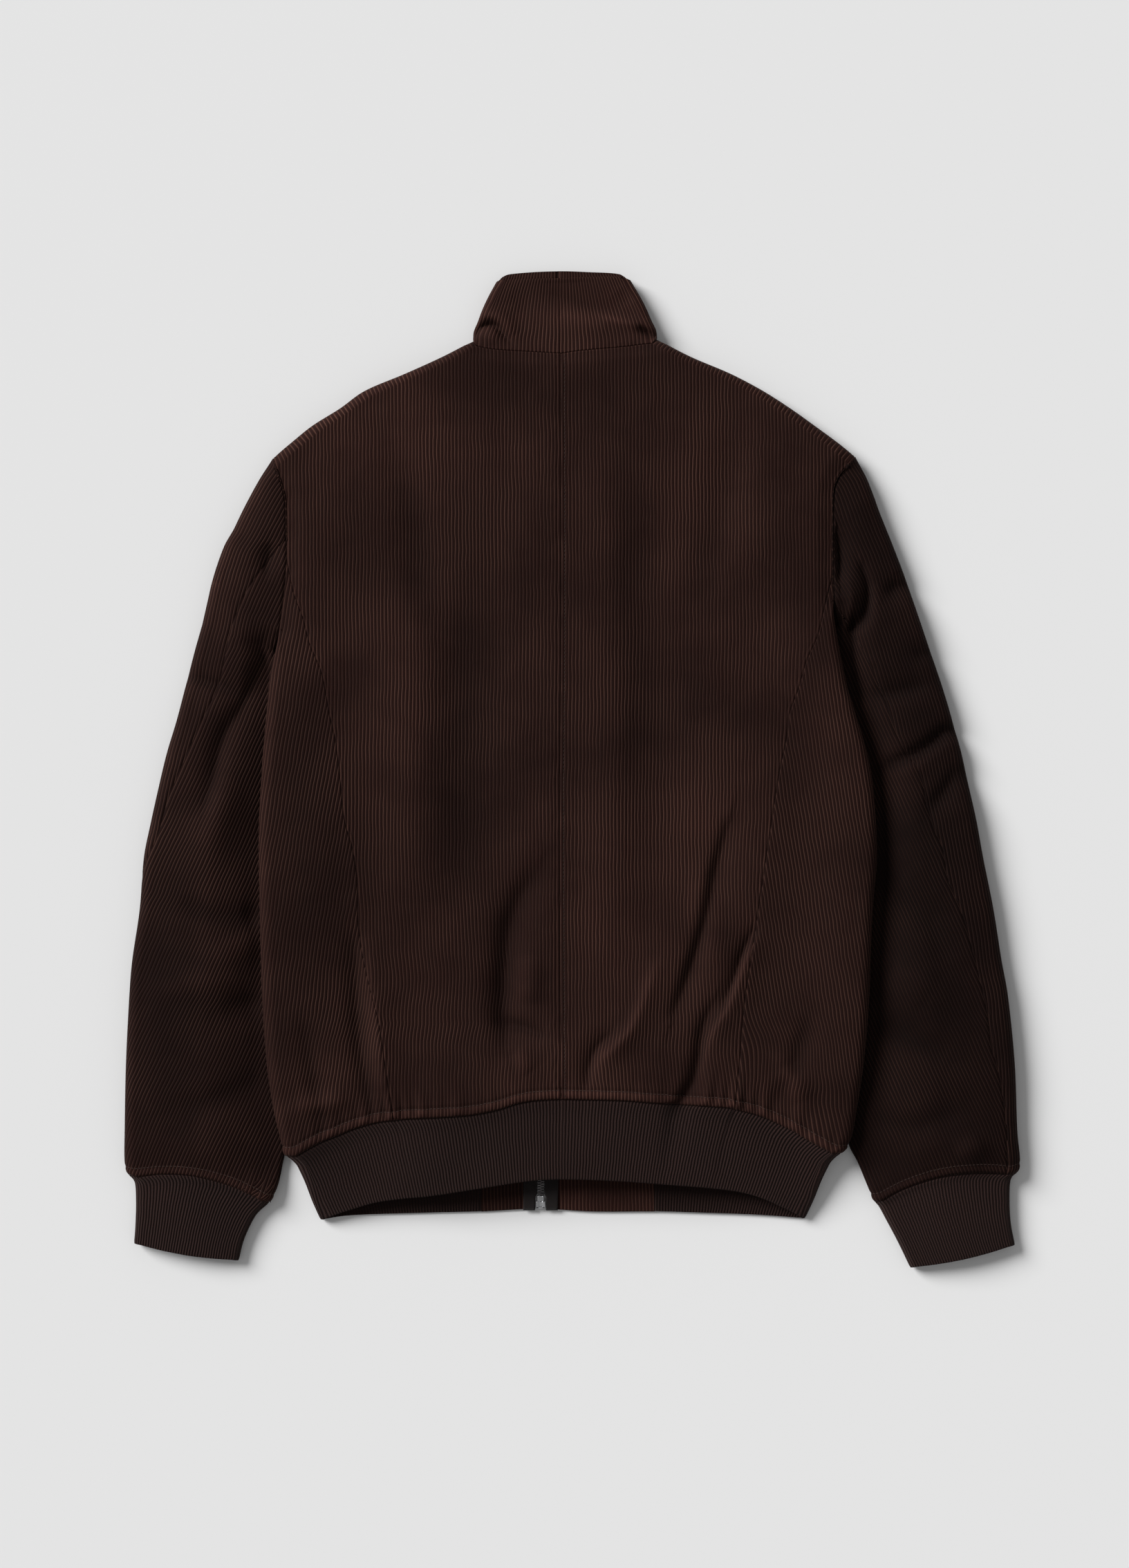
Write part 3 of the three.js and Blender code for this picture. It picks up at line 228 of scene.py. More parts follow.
CUT = {
    "left": dict(
        sign=-1, rows_low=4, seam_row=6, turn=True,
        shoulder=[(394, 662), (420, 640), (451, 615), (491, 590), (526, 565), (585, 540),
                  (640, 515), (684, 492)],
        neck=[(688.6, 501), (707, 505), (728, 507), (773, 509.6), (811, 511.8)],
        arm=[(399.5, 676), (406, 695), (413, 722), (415, 766), (415, 810)],
        arm_low=[(415, 810), (412, 850), (404.5, 910)],
        edge=[(401, 930), (395, 957), (390, 983), (387, 1019), (381, 1085), (377, 1151),
              (374.5, 1196), (376, 1319), (382.5, 1500), (395, 1600), (412, 1671)],
        side_back=[(415, 810), (426, 861), (439, 895), (448, 930), (466, 974), (477, 1032),
                   (486, 1072), (492, 1120), (499, 1187), (510, 1225), (517, 1272), (519, 1340),
                   (530, 1408), (549, 1480), (558, 1541), (570, 1620)],
        hem_side=[(570, 1620), (543, 1623), (504, 1633), (480, 1642), (451, 1652), (412, 1671)],
        hem_back=[(570, 1620), (587, 1618), (627, 1616), (681, 1612), (721, 1604),
                  (748, 1595.5), (775, 1591), (811.5, 1589)],
        arm_front=[(405, 686), (424, 722), (436, 766), (444, 815), (452, 886)],
        arm_floor=[(438, 903), (420, 924)],
        side_front=[(452, 886), (468, 960), (478, 1019), (476, 1150), (474, 1319), (482, 1500),
                    (492, 1600), (500, 1648)],
        neck_front=[(720, 513), (760, 511), (798, 508)],
        hem_front=[(500, 1648), (560, 1646), (640, 1645), (696, 1644)],
        hem_tab=[(696, 1644), (735, 1644), (776, 1644)],
        outer=[(394, 662), (376, 690), (362, 715), (349, 740), (337, 765), (323, 790),
               (306, 840), (295, 890), (281, 940), (268, 990), (255, 1040), (240, 1090),
               (228, 1140), (217, 1190), (207, 1240), (201, 1315), (190, 1390), (186, 1440),
               (181, 1540), (179, 1640), (179, 1683), (183, 1700)],
        inner=[(398.5, 941), (414, 976), (411, 1019), (404, 1081), (399, 1151), (397, 1196),
               (397, 1319), (402, 1500), (409, 1600), (413, 1655), (407, 1688), (401, 1715),
               (390, 1740)],
        sleeve_seam=[(415, 776), (385, 815), (355, 859), (337, 903), (330, 930), (315, 996),
                     (293, 1041), (266, 1103), (235, 1174), (226, 1212)],
        cuff_in=[(390, 1740), (384, 1745), (368, 1761), (352, 1794), (344, 1825)],
        cuff_out=[(183, 1700), (193, 1711), (195, 1740), (194, 1775), (192, 1800)],
    ),
    "right": dict(
        sign=1, rows_low=2, seam_row=10, turn=False,
        shoulder=[(1238, 660), (1213, 640), (1179, 615), (1144, 590), (1105, 565), (1058, 540),
                  (999, 515), (951, 490)],
        neck=[(943, 497.5), (925, 499.5), (907, 502), (873, 505), (840, 508), (811, 511.8)],
        arm=[(1228, 672), (1215, 687), (1206, 708), (1204, 753), (1204, 835)],
        arm_low=[(1204, 835), (1205, 868)],
        edge=[(1206, 888), (1211, 921), (1224, 988), (1237, 1032), (1253, 1085), (1262, 1134),
              (1267, 1196), (1268, 1250), (1261, 1326), (1258, 1423), (1251, 1520),
              (1241, 1593), (1231, 1646), (1219, 1667)],
        side_back=[(1204, 835), (1191, 886), (1182, 921), (1166, 957), (1155, 996),
                   (1142, 1032), (1138, 1067), (1127, 1120), (1107, 1250), (1098, 1311),
                   (1089, 1371), (1077, 1450), (1071, 1523), (1063, 1604)],
        hem_side=[(1063, 1604), (1104, 1614), (1155, 1635), (1181, 1649), (1219, 1667)],
        hem_back=[(1063, 1604), (1053, 1601.5), (1002, 1598), (951, 1595), (900, 1591),
                  (811.5, 1589)],
        arm_front=[(1222, 681), (1200, 715), (1186, 760), (1178, 800), (1163, 846)],
        arm_floor=[(1176, 860), (1190, 874)],
        side_front=[(1163, 846), (1146, 930), (1135, 1000), (1155, 1085), (1166, 1196),
                    (1163, 1326), (1159, 1423), (1149, 1540), (1131, 1650)],
        neck_front=[(912, 511), (860, 511), (813, 508)],
        hem_front=[(1131, 1650), (1070, 1647), (1000, 1645), (947, 1644)],
        hem_tab=[(947, 1644), (870, 1644), (791, 1644)],
        outer=[(1238, 660), (1254, 690), (1264, 715), (1273, 740), (1293, 790), (1312, 840),
               (1329, 890), (1346, 940), (1363, 990), (1378, 1040), (1392, 1090),
               (1403, 1140), (1414, 1190), (1423, 1240), (1438, 1315), (1450, 1390),
               (1459, 1440), (1469, 1540), (1473, 1640), (1477, 1679), (1475, 1696)],
        inner=[(1210, 902), (1194, 940), (1203, 988), (1216, 1032), (1232, 1085),
               (1241, 1134), (1246, 1196), (1247, 1250), (1240, 1326), (1238, 1423),
               (1233, 1520), (1226, 1593), (1223, 1632), (1230, 1660), (1242, 1683),
               (1255, 1715), (1265, 1740)],
        sleeve_seam=[(1205, 868), (1225, 900), (1251, 948), (1277, 1005), (1290, 1045),
                     (1304, 1076), (1330, 1120), (1339, 1160), (1352, 1205), (1362, 1224),
                     (1372, 1277), (1391, 1321), (1411, 1394), (1425, 1452), (1433, 1510),
                     (1447, 1569), (1455, 1627), (1457, 1684)],
        cuff_in=[(1265, 1740), (1272, 1746), (1283, 1766), (1300, 1798), (1318, 1835.5)],
        cuff_out=[(1475, 1696), (1464, 1707), (1462, 1738), (1464, 1772), (1470, 1802)],
    ),
}
for cut in CUT.values():
    for key, value in cut.items():
        if isinstance(value, list) and key not in ("arm_floor", "cuff_in", "cuff_out",
                                                   "neck_front"):
            cut[key] = Line(value)
    cut["arm_line"] = np.vstack([cut["arm"].fine, cut["arm_low"].fine])
ZIP = Line([(781.5, 1757), (783.5, 1644), (787, 1500), (795, 1100), (803, 700),
            (805.5, 508), (807, 391)])
CENTRE_BACK = Line([(811, 511.8), (812, 900), (810, 1200), (811.5, 1589)])
NECK_LINE = np.vstack([CUT["left"]["neck"].fine, CUT["right"]["neck"].fine[::-1]])

# Folds: depth in mm (negative for a ridge), half width on the line's right and on its left,
# how sharp (1 is a crease, 2 is round), and the line.
BODY_FOLDS = [
    (5.0, 11, 15, 1.7, [(773, 1262), (740, 1329), (731, 1402), (728, 1475), (734, 1517)]),
    (3.2, 7, 9, 1.3, [(728, 1481), (757, 1486), (789, 1499)]),
    (-2.0, 9, 9, 2.0, [(745, 1520), (768, 1548)]),
    (-2.5, 13, 13, 2.0, [(762, 1380), (765, 1450)]),
    (3.4, 9, 6, 1.3, [(882, 1496), (862, 1518), (852, 1545), (849, 1572)]),
    (-2.4, 6, 9, 1.5, [(948, 1400), (917, 1481), (894, 1510), (872, 1530)]),
    (4.8, 5.5, 15, 1.3, [(1052, 1194), (1031, 1270), (1013, 1352), (992, 1415), (973, 1468)]),
    (4.4, 6.5, 11, 1.4, [(1030, 1452), (1016, 1490), (1010, 1532), (1002, 1564), (985, 1590),
                         (966, 1606)]),
    (-2.6, 3.5, 11, 1.4, [(1089, 1366), (1072, 1404), (1052, 1458), (1031, 1495), (1018, 1536),
                          (1010, 1572)]),
    (3.4, 6, 3, 1.3, [(1089, 1346), (1074, 1380), (1064, 1412), (1046, 1458)]),
    (-3.0, 14, 14, 2.0, [(1017, 1271), (1030, 1400)]),
    (4.0, 10, 10, 1.6, [(512, 1359), (521, 1505), (537, 1590)]),
    (-2.0, 8, 12, 1.5, [(534, 1370), (545, 1480), (556, 1575)]),
    (-2.0, 26, 26, 2.0, [(470, 1100), (462, 1300)]),
    (2.0, 34, 34, 2.0, [(676, 800), (676, 1320)]),
    (-2.0, 30, 30, 2.0, [(590, 900), (620, 1300)]),
    (2.0, 30, 30, 2.0, [(930, 760), (950, 1200)]),
    (-1.4, 20, 20, 2.0, [(878, 640), (890, 1000), (880, 1350)]),
    (1.5, 16, 16, 2.0, [(560, 640), (600, 760), (620, 900)]),
    (1.5, 18, 18, 2.0, [(1060, 640), (1040, 760), (1010, 880)]),
    (-3.0, 10, 10, 1.8, [(430, 1600), (500, 1592)]),
    (-3.0, 10, 10, 1.8, [(1135, 1541), (1160, 1590)]),
    (2.0, 9, 9, 1.6, [(1170, 1470), (1150, 1540), (1120, 1600)]),
    (1.8, 10, 10, 1.6, [(440, 1480), (455, 1560), (470, 1620)]),
]
SLEEVE_FOLDS = [
    (5.0, 10, 13, 1.4, [(388, 940), (350, 1019), (324, 1063), (306, 1130), (294, 1170)]),
    (3.2, 8, 10, 1.4, [(275, 979), (310, 990), (346, 1005)]),
    (-2.5, 16, 16, 2.0, [(330, 1120), (300, 1230)]),
    (3.4, 9, 9, 1.4, [(392, 786), (384, 835)]),
    (3.6, 11, 16, 1.5, [(408, 1296), (385, 1318), (352, 1332)]),
    (-2.2, 13, 13, 2.0, [(398, 1352), (352, 1368), (310, 1386)]),
    (2.6, 10, 14, 1.6, [(404, 1452), (362, 1452), (322, 1462)]),
    (2.0, 12, 18, 1.8, [(378, 1560), (318, 1588), (262, 1600)]),
    (5.0, 5, 14, 1.25, [(1384, 1044), (1365, 1056), (1340, 1078), (1300, 1100), (1284, 1104)]),
    (-2.6, 9, 9, 1.6, [(1380, 1068), (1342, 1096), (1298, 1116)]),
    (3.0, 7, 10, 1.5, [(1390, 1103), (1366, 1143), (1345, 1168)]),
    (3.0, 8, 11, 1.5, [(1308, 837), (1282, 862)]),
    (2.6, 8, 12, 1.5, [(1262, 1003), (1300, 1001), (1339, 990)]),
    (-2.5, 12, 12, 2.0, [(1385, 1675), (1420, 1652)]),
    (5.2, 6.5, 3.2, 1.3, [(1246, 818), (1256, 850), (1254, 882), (1245, 902), (1230, 911)]),
    (4.0, 4, 8, 1.5, [(1210, 770), (1213, 805), (1214, 840)]),
    (3.2, 5, 4, 1.4, [(1237, 895), (1234, 925), (1237, 960), (1247, 1010)]),
    (-1.8, 5, 6, 1.6, [(1226, 838), (1232, 868), (1224, 905)]),
    (2.2, 14, 16, 1.8, [(1300, 1290), (1340, 1330), (1372, 1390)]),
    (2.2, 12, 16, 1.8, [(1262, 1480), (1316, 1500), (1368, 1530)]),
    (-1.8, 16, 16, 2.0, [(1290, 1400), (1340, 1440)]),
    (1.8, 12, 14, 1.8, [(1262, 1618), (1330, 1628), (1390, 1602)]),
    (3.4, 15, 22, 1.8, [(1222, 905), (1242, 1000), (1264, 1100), (1280, 1180), (1284, 1300),
                        (1272, 1420), (1262, 1560)]),
    (2.0, 14, 14, 1.8, [(392, 1200), (386, 1330), (392, 1480), (398, 1600)]),
    (1.6, 10, 12, 1.7, [(262, 1300), (300, 1322), (345, 1326)]),
    (-1.6, 12, 12, 1.9, [(236, 1430), (300, 1420), (350, 1412)]),
    (1.8, 8, 10, 1.6, [(1322, 950), (1352, 938)]),
]
COLLAR_FOLDS = [
    (3.4, 9, 11, 1.5, [(796, 424), (860, 446), (934, 468)]),
    (-2.2, 9, 10, 1.8, [(812, 452), (880, 478)]),
    (5.6, 3.0, 4.2, 1.3, [(686, 488), (694, 475), (706, 469), (718, 472), (727, 482), (737, 494)]),
    (-3.4, 5, 6, 1.8, [(700, 458), (716, 460), (732, 472), (742, 486)]),
    (-1.2, 6, 6, 1.8, [(704, 484), (720, 492)]),
    (5.4, 4.0, 3.0, 1.3, [(924, 471), (934, 479), (950, 488)]),
    (-3.2, 5, 6, 1.8, [(872, 458), (905, 467), (938, 474)]),
    (1.2, 8, 10, 1.7, [(735, 428), (752, 440), (748, 452)]),
    (1.0, 9, 9, 1.7, [(895, 420), (910, 440)]),
]


def made(folds, gain):
    """Folds with their depth times gain and their line in mm."""
    return [(d * gain, a, b, k, Line(places).fine) for d, a, b, k, places in folds]


FOLDS = {"body": made(BODY_FOLDS, 1.75), "sleeve": made(SLEEVE_FOLDS, 1.65),
         "collar": made(COLLAR_FOLDS, 1.2)}


def creases(x, y, where):
    """Rise of the placed folds at places in plan."""
    z = np.zeros(np.shape(x))
    for deep, right, left, sharp, line in FOLDS[where]:
        reach = 3 * max(right, left)
        lo, hi = line.min(0) - reach, line.max(0) + reach
        near = (x > lo[0]) & (x < hi[0]) & (y > lo[1]) & (y < hi[1])
        if not near.any():
            continue
        r, s, side = off(line, x[near], y[near])
        half = np.where(side > 0, left, right)
        z[near] -= deep * np.exp(-((r / half) ** sharp)) * (0.35 + 0.65 * np.sin(np.pi * s) ** 0.7)
    return z


def drape(x, y):
    """The slow unevenness of cloth lying loose."""
    a = np.sin(x / 31 + 1.3 * np.sin(y / 57)) * np.sin(y / 43 + 0.8 * np.sin(x / 39))
    b = np.sin(x / 13 + y / 29 + 1.1) * np.sin(y / 19 - x / 37)
    return 0.75 * a + 0.3 * b


def body_top(x, y):
    """Height of the upper side over places in plan."""
    x, y = np.asarray(x, float), np.asarray(y, float)
    z = np.full(x.shape, float(LOFT))
    for cut in CUT.values():
        mine = (x < 0) == (cut["sign"] < 0)
        d = np.abs(x - cut["edge"].x_at(y))
        y0 = cut["edge"](0)[1]
        low = 1 - ease(y0 - 60, y0 + 20, y)
        rise = SIDE_RISE * low * (1 - ease(8, 75, d))
        arm = np.where((y < 290) & (y > 100),
                       ARM_DIP * (1 - ease(0, 16, off(cut["arm_line"], x, y)[0])), 0)
        z = z + np.where(mine, rise - arm, 0)
    z = z + HEM_SWELL * (1 - ease(-285, -190, y)) * (1 - (x / 260) ** 2)
    z = z - np.where(y > 330, NECK_DIP * (1 - ease(0, 11, off(NECK_LINE, x, y)[0])), 0)
    z = z - CORNER_DIP * (1 - ease(-292, -262, y)) * ease(120, 220, np.abs(x))
    return z + creases(x, y, "body") + drape(x, y) * ease(0, 30, 430 - y)


def zip_lift(x, y):
    """Rise of the fronts near the slider."""
    return ZIP_LIFT * ease(270, 360, y) * (1 - ease(8, 45, np.abs(x - ZIP.x_at(y))))


def collar_stand(y):
    """The collar's front part stands up a little inside its back part."""
    return 5 * ease(420.5, 427, y) - 1.2 * ease(427.5, 433.5, y)


def panel(left, right, top, bottom, v, u):
    """Places in plan between four lines, rows from top to bottom."""
    v, u = v[:, None, None], u[None, :, None]
    t0, t1, b0, b1 = top[0], top[-1], bottom[0], bottom[-1]
    return ((1 - u) * left[:, None] + u * right[:, None]
            + (1 - v) * (top[None] - mix(t0, t1, u)) + v * (bottom[None] - mix(b0, b1, u)))


def raised(q, z):
    """Places in plan with a height."""
    return np.concatenate([q, np.broadcast_to(z, q.shape[:-1])[..., None]], -1)


def outward(p):
    """Normals of a grid of places, pointing away from the middle of the garment."""
    n = np.cross(np.gradient(p, axis=1), np.gradient(p, axis=0))
    middle = np.array([p[..., 0].mean(), p[..., 1].mean(), 7.0])
    return unit(n) * (1 if (n * (p - middle)).sum() > 0 else -1)


def settle(p, left=0.0, right=0.0, top=0.0, bottom=0.0, wide=1.5, stitch=(), n=None):
    """Lets a panel sink at its seams, and pulls it down along rows of stitching.
    stitch holds (side, distance, depth, puff, pucker), and n normals that are known."""
    n = outward(p) if n is None else n
    across, down = run_along(p, 1), run_along(p, 0)
    away = {"left": across, "right": across[:, -1:] - across, "top": down,
            "bottom": down[-1:] - down}
    drop = np.zeros(p.shape[:2])
    for side, depth in (("left", left), ("right", right), ("top", top), ("bottom", bottom)):
        drop = drop + depth * np.exp(-((away[side] / wide) ** 2))
    for side, far, depth, puff, pucker in stitch:
        d = away[side]
        s = across if side in ("top", "bottom") else down
        gather = (np.sin(s / 2.1 + 2.0 * np.sin(s / 17)) + 0.8 * np.sin(s / 4.3 + 1.4)
                  ) * (0.6 + 0.4 * np.sin(s / 41 + 2))
        drop = drop + depth * np.exp(-(((d - far) / 1.1) ** 2))
        drop = drop - puff * np.sin(np.pi * np.clip(d / far, 0, 1))
        drop = drop - pucker * gather * ease(0.5, 4, d) * np.exp(-((d / (far * 2.3)) ** 2))
    return p - n * drop[..., None]


def painted_strip_light(p, far, base):
    """Painted light below the row of stitching, where the gathered cloth puffs up; times base."""
    down = run_along(p, 0)
    return base * (1 + 0.32 * ease(far + 0.8, far - 1.2, down[-1:] - down))


def grounded(p):
    """Places, none of them below the floor."""
    return np.maximum(p, [-1e3, -1e3, 0])


# Meshes

def mesh_object(name, bm, look):
    """An object in the scene from a finished bmesh, with its material."""
    me = bpy.data.meshes.new(name)
    bm.to_mesh(me)
    bm.free()
    me.materials.append(look)
    obj = bpy.data.objects.new(name, me)
    bpy.context.scene.collection.objects.link(obj)
    return obj


def laid(name, p, weave, thick, look, skip=None, tone=1.0):
    """A cloth from a grid of places in mm, with its weave as UV and a wall inwards. Cells
    marked in skip are left out."""
    rows, cols = p.shape[:2]
    p = grounded(p)
    n = unit(np.cross(np.gradient(p, axis=1), np.gradient(p, axis=0)))
    bm = bmesh.new()
    bmesh.ops.create_grid(bm, x_segments=cols - 1, y_segments=rows - 1, size=0.5)
    weave_map = bm.loops.layers.uv.new("weave")
    tip = bm.verts.layers.float.new("crest")
    # The nap attribute holds painted light and shade: the painted light patches times tone, the
    # piece's own painted light and shade.
    nap = bm.verts.layers.float.new("nap")
    full = bm.verts.layers.deform.verify()
    shade = painted_light_tone(p[..., 0], p[..., 1]) * tone
    crest = ridge(p)
    cell = [(round((v.co.y + 0.5) * (rows - 1)), round((v.co.x + 0.5) * (cols - 1)))
            for v in bm.verts]
    gone = []
    for f in bm.faces:
        corners = [cell[loop.vert.index] for loop in f.loops]
        if skip is not None and skip[tuple(np.min(corners, axis=0))]:
            gone.append(f)
        for loop, corner in zip(f.loops, corners):
            loop[weave_map].uv = weave[corner]
        f.smooth = True
    for v in bm.verts:
        here = cell[v.index]
        v.co = p[here] / 1000
        v[tip] = crest[here]
        v[nap] = shade[here]
    bmesh.ops.delete(bm, geom=gone, context="FACES")
    bmesh.ops.remove_doubles(bm, verts=bm.verts[:], dist=2e-5)
    if (n * outward(p)).sum() < 0:
        bmesh.ops.reverse_faces(bm, faces=bm.faces[:])
    bm.normal_update()
    for v in bm.verts:
        # The wall gets thinner where it would reach below the floor.
        down = v.normal.z * thick / 1000
        v[full][0] = 1.0 if down <= max(v.co.z, 1e-6) else max(v.co.z, 0) / down
    obj = mesh_object(name, bm, look)
    obj.vertex_groups.new(name="wall")
    wall = obj.modifiers.new("wall", "SOLIDIFY")
    wall.thickness = thick / 1000
    wall.offset = -1
    wall.use_even_offset = False
    wall.vertex_group = "wall"
    return obj


def ridge(p):
    """How far a place stands above its surroundings, for wear on the high folds and painted shade
    in the low ones.
    """
    z = p[..., 2]
    wide = z.copy()
    for _ in range(14):
        pad = np.pad(wide, 1, mode="edge")
        wide = (pad[:-2, 1:-1] + pad[2:, 1:-1] + pad[1:-1, :-2] + pad[1:-1, 2:]) / 4
    return np.clip((z - wide) / 1.2, -1, 1)


def measure(p, skip=None):
    """Flat width, length and area of a grid of places, in metres."""
    w, h = run_along(p, 1)[:, -1].max() / 1000, run_along(p, 0)[-1].max() / 1000
    a = np.cross(p[1:, 1:] - p[:-1, :-1], p[1:, :-1] - p[:-1, 1:])
    cell = np.linalg.norm(a, axis=-1) / 2e6
    if skip is not None:
        cell = np.where(skip, 0, cell)
    area = cell.sum()
    # A piece whose rows slant has a width that its area doesn't bear out.
    if area < 0.3 * w * h:
        w = area / (0.55 * h)
    if area > w * h:
        w = area / (0.98 * h)
    return (w, h), area


def sew(obj, nodes, p=None, skip=None):
    """Rides and replaces, and for cloth measures the flat cut."""
    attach(obj, "jacket")
    if nodes:
        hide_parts(*nodes)
    if p is not None:
        flat, area = measure(p, skip)


# Materials

def put(tree, kind, *feeds, **props):
    """A shader node with its first sockets fed in order."""
    n = tree.nodes.new("ShaderNode" + kind)
    for k, v in props.items():
        setattr(n, k, v)
    for i, f in enumerate(feeds):
        feed(tree, n.inputs[i], f)
    return n


def feed(tree, socket, value):
    """Links a socket to another one, or sets its value."""
    if isinstance(value, bpy.types.NodeSocket):
        tree.links.new(value, socket)
    else:
        socket.default_value = value


def calc(tree, what, *feeds):
    """What a Math node gives."""
    return put(tree, "Math", *feeds, operation=what).outputs[0]


def times(tree, a, b):
    return calc(tree, "MULTIPLY", a, b)


def plus(tree, a, b):
    return calc(tree, "ADD", a, b)


def minus(tree, a, b):
    return calc(tree, "SUBTRACT", a, b)


def scaled(tree, x, y, by_x, by_y):
    """A place on the weave, scaled along each of its ways."""
    return put(tree, "CombineXYZ", times(tree, x, by_x), times(tree, y, by_y)).outputs[0]


def dyed(tree, amount, a, b, how="MIX"):
    """Two colours mixed."""
    n = put(tree, "Mix", data_type="RGBA", blend_type=how)
    for i, f in ((0, amount), (6, a), (7, b)):
        feed(tree, n.inputs[i], f)
    return n.outputs[2]


def between(tree, value, lo, hi, out_lo=0.0, out_hi=1.0, how="SMOOTHSTEP"):
    """A value's place between lo and hi, given as out_lo to out_hi."""
    n = put(tree, "MapRange", value, lo, hi, out_lo, out_hi, interpolation_type=how)
    return n.outputs[0]


def noise(tree, vector, scale, detail=2.0, rough=0.5):
    n = put(tree, "TexNoise", noise_dimensions="3D")
    for key, f in (("Vector", vector), ("Scale", scale), ("Detail", detail),
                   ("Roughness", rough)):
        feed(tree, n.inputs[key], f)
    return n.outputs[0]


def node_group(name, feeds, results):
    """A group's tree, its input node, and a function that takes what it puts out."""
    tree = bpy.data.node_groups.new(name, "ShaderNodeTree")
    for way, sockets in (("INPUT", feeds), ("OUTPUT", results)):
        for label, kind in sockets:
            tree.interface.new_socket(name=label, in_out=way, socket_type="NodeSocket" + kind)
    into, out = tree.nodes.new("NodeGroupInput"), tree.nodes.new("NodeGroupOutput")

    def give(*values):
        for i, value in enumerate(values):
            feed(tree, out.inputs[i], value)
        return tree

    return tree, into, give


def wales_group():
    """Corduroy: round wales of pile with thin bare furrows between. Weave x counts wales,
    and weave y is mm along them."""
    tree, into, give = node_group(
        "corduroy wales", [("Weave", "Vector"), ("Furrow", "Float")],
        [("Height", "Float"), ("Bare", "Float"), ("Nap", "Float"), ("Streak", "Float")])
    xyz = put(tree, "SeparateXYZ", into.outputs[0])
    x, y = xyz.outputs[0], xyz.outputs[1]
    sway = noise(tree, scaled(tree, x, y, 0.11, 0.03), 1.0)
    x = plus(tree, x, times(tree, minus(tree, sway, 0.5), 0.9))
    side = calc(tree, "ABSOLUTE", minus(tree, calc(tree, "FRACT", x), 0.5))
    from_top = times(tree, side, 2.0)
    round_top = minus(tree, 1.0, calc(tree, "POWER", from_top, 2.4))
    streak = noise(tree, scaled(tree, calc(tree, "FLOOR", x), y, 1.0, 0.012), 1.7, 2.0)
    nap = noise(tree, scaled(tree, x, y, 1.4, 0.9), 1.6, 3.0, 0.6)
    bare = between(tree, from_top, into.outputs[1], 0.97)
    return give(plus(tree, round_top, times(tree, nap, 0.28)), bare, nap, streak)


def rib_group():
    """Rib knit: rows of small loops on raised ribs. Weave x counts ribs, y is mm."""
    tree, into, give = node_group(
        "rib knit", [("Weave", "Vector")],
        [("Height", "Float"), ("Gap", "Float"), ("Fleck", "Float")])
    xyz = put(tree, "SeparateXYZ", into.outputs[0])
    x, y = xyz.outputs[0], xyz.outputs[1]
    sway = noise(tree, scaled(tree, x, y, 0.1, 0.05), 1.0)
    x = plus(tree, x, times(tree, sway, 0.7))
    side = calc(tree, "ABSOLUTE", minus(tree, calc(tree, "FRACT", x), 0.5))
    rib = calc(tree, "COSINE", times(tree, side, TAU / 2 * 1.6))
    slant = plus(tree, times(tree, y, 0.62), times(tree, side, 1.6))
    loop = calc(tree, "SINE", times(tree, slant, TAU))
    fleck = noise(tree, scaled(tree, x, y, 2.0, 1.1), 1.3, 3.0, 0.65)
    height = plus(tree, rib, plus(tree, times(tree, loop, 0.16), times(tree, fleck, 0.3)))
    # Gap marks the hollows between the ribs, where painted shade goes.
    return give(height, between(tree, side, 0.28, 0.48), fleck)


def wear_and_painted_light_group():
    """Slow change of tone, a lighter rub on the high folds as wear, painted shade in the hollows
    and painted light and shade from Nap.
    """
    tree, into, give = node_group(
        "tone and rub", [("Place", "Vector"), ("Crest", "Float"), ("Nap", "Float"),
                         ("Colour", "Color")],
        [("Colour", "Color")])
    big = noise(tree, into.outputs[0], 7.0, 3.0, 0.55)
    shade = between(tree, big, 0.3, 0.7, 0.86, 1.14, "LINEAR")
    rub_and_painted_shade = between(tree, into.outputs[1], -0.7, 0.9, 0.84, 1.22, "LINEAR")
    both = times(tree, times(tree, shade, rub_and_painted_shade), into.outputs[2])
    grey = put(tree, "CombineColor", both, both, both)
    return give(dyed(tree, 1.0, into.outputs[3], grey.outputs[0], "MULTIPLY"))


WALES, KNIT_RIBS, WEAR_AND_PAINTED_LIGHT = wales_group(), rib_group(), wear_and_painted_light_group()


def finish(name, sheen=None, **values):
    """A new material with its tree and shader. sheen holds weight, roughness and tint."""
    mat = bpy.data.materials.new(name)
    mat.use_nodes = True
    shader = mat.node_tree.nodes["Principled BSDF"]
    for key, value in values.items():
        shader.inputs[key.replace("_", " ")].default_value = value
    if sheen:
        weight, rough, tint = sheen
        shader.inputs["Sheen Weight"].default_value = weight
        shader.inputs["Sheen Roughness"].default_value = rough
        shader.inputs["Sheen Tint"].default_value = (*tint, 1)
    return mat, mat.node_tree, shader


def relief(tree, shader, height, distance, strength=1.0):
    """Bump from a height, its distance in metres."""
    bump = put(tree, "Bump")
    bump.inputs["Strength"].default_value = strength
    bump.inputs["Distance"].default_value = distance
    feed(tree, bump.inputs["Height"], height)
    feed(tree, shader.inputs["Normal"], bump.outputs[0])


def weave_of(tree):
    return put(tree, "UVMap", uv_map="weave").outputs[0]


def place_of(tree):
    return put(tree, "TexCoord").outputs["Object"]


def mask(tree, name):
    return put(tree, "Attribute", attribute_name=name).outputs["Fac"]


def toned(colour, share=1.0):
    """A colour made lighter or darker, opaque."""
    return (*[c * share for c in colour], 1)


def placed(tree, group, *feeds):
    """A node group in a material, fed in order."""
    n = tree.nodes.new("ShaderNodeGroup")
    n.node_tree = group
    for i, f in enumerate(feeds):
        feed(tree, n.inputs[i], f)
    return n.outputs


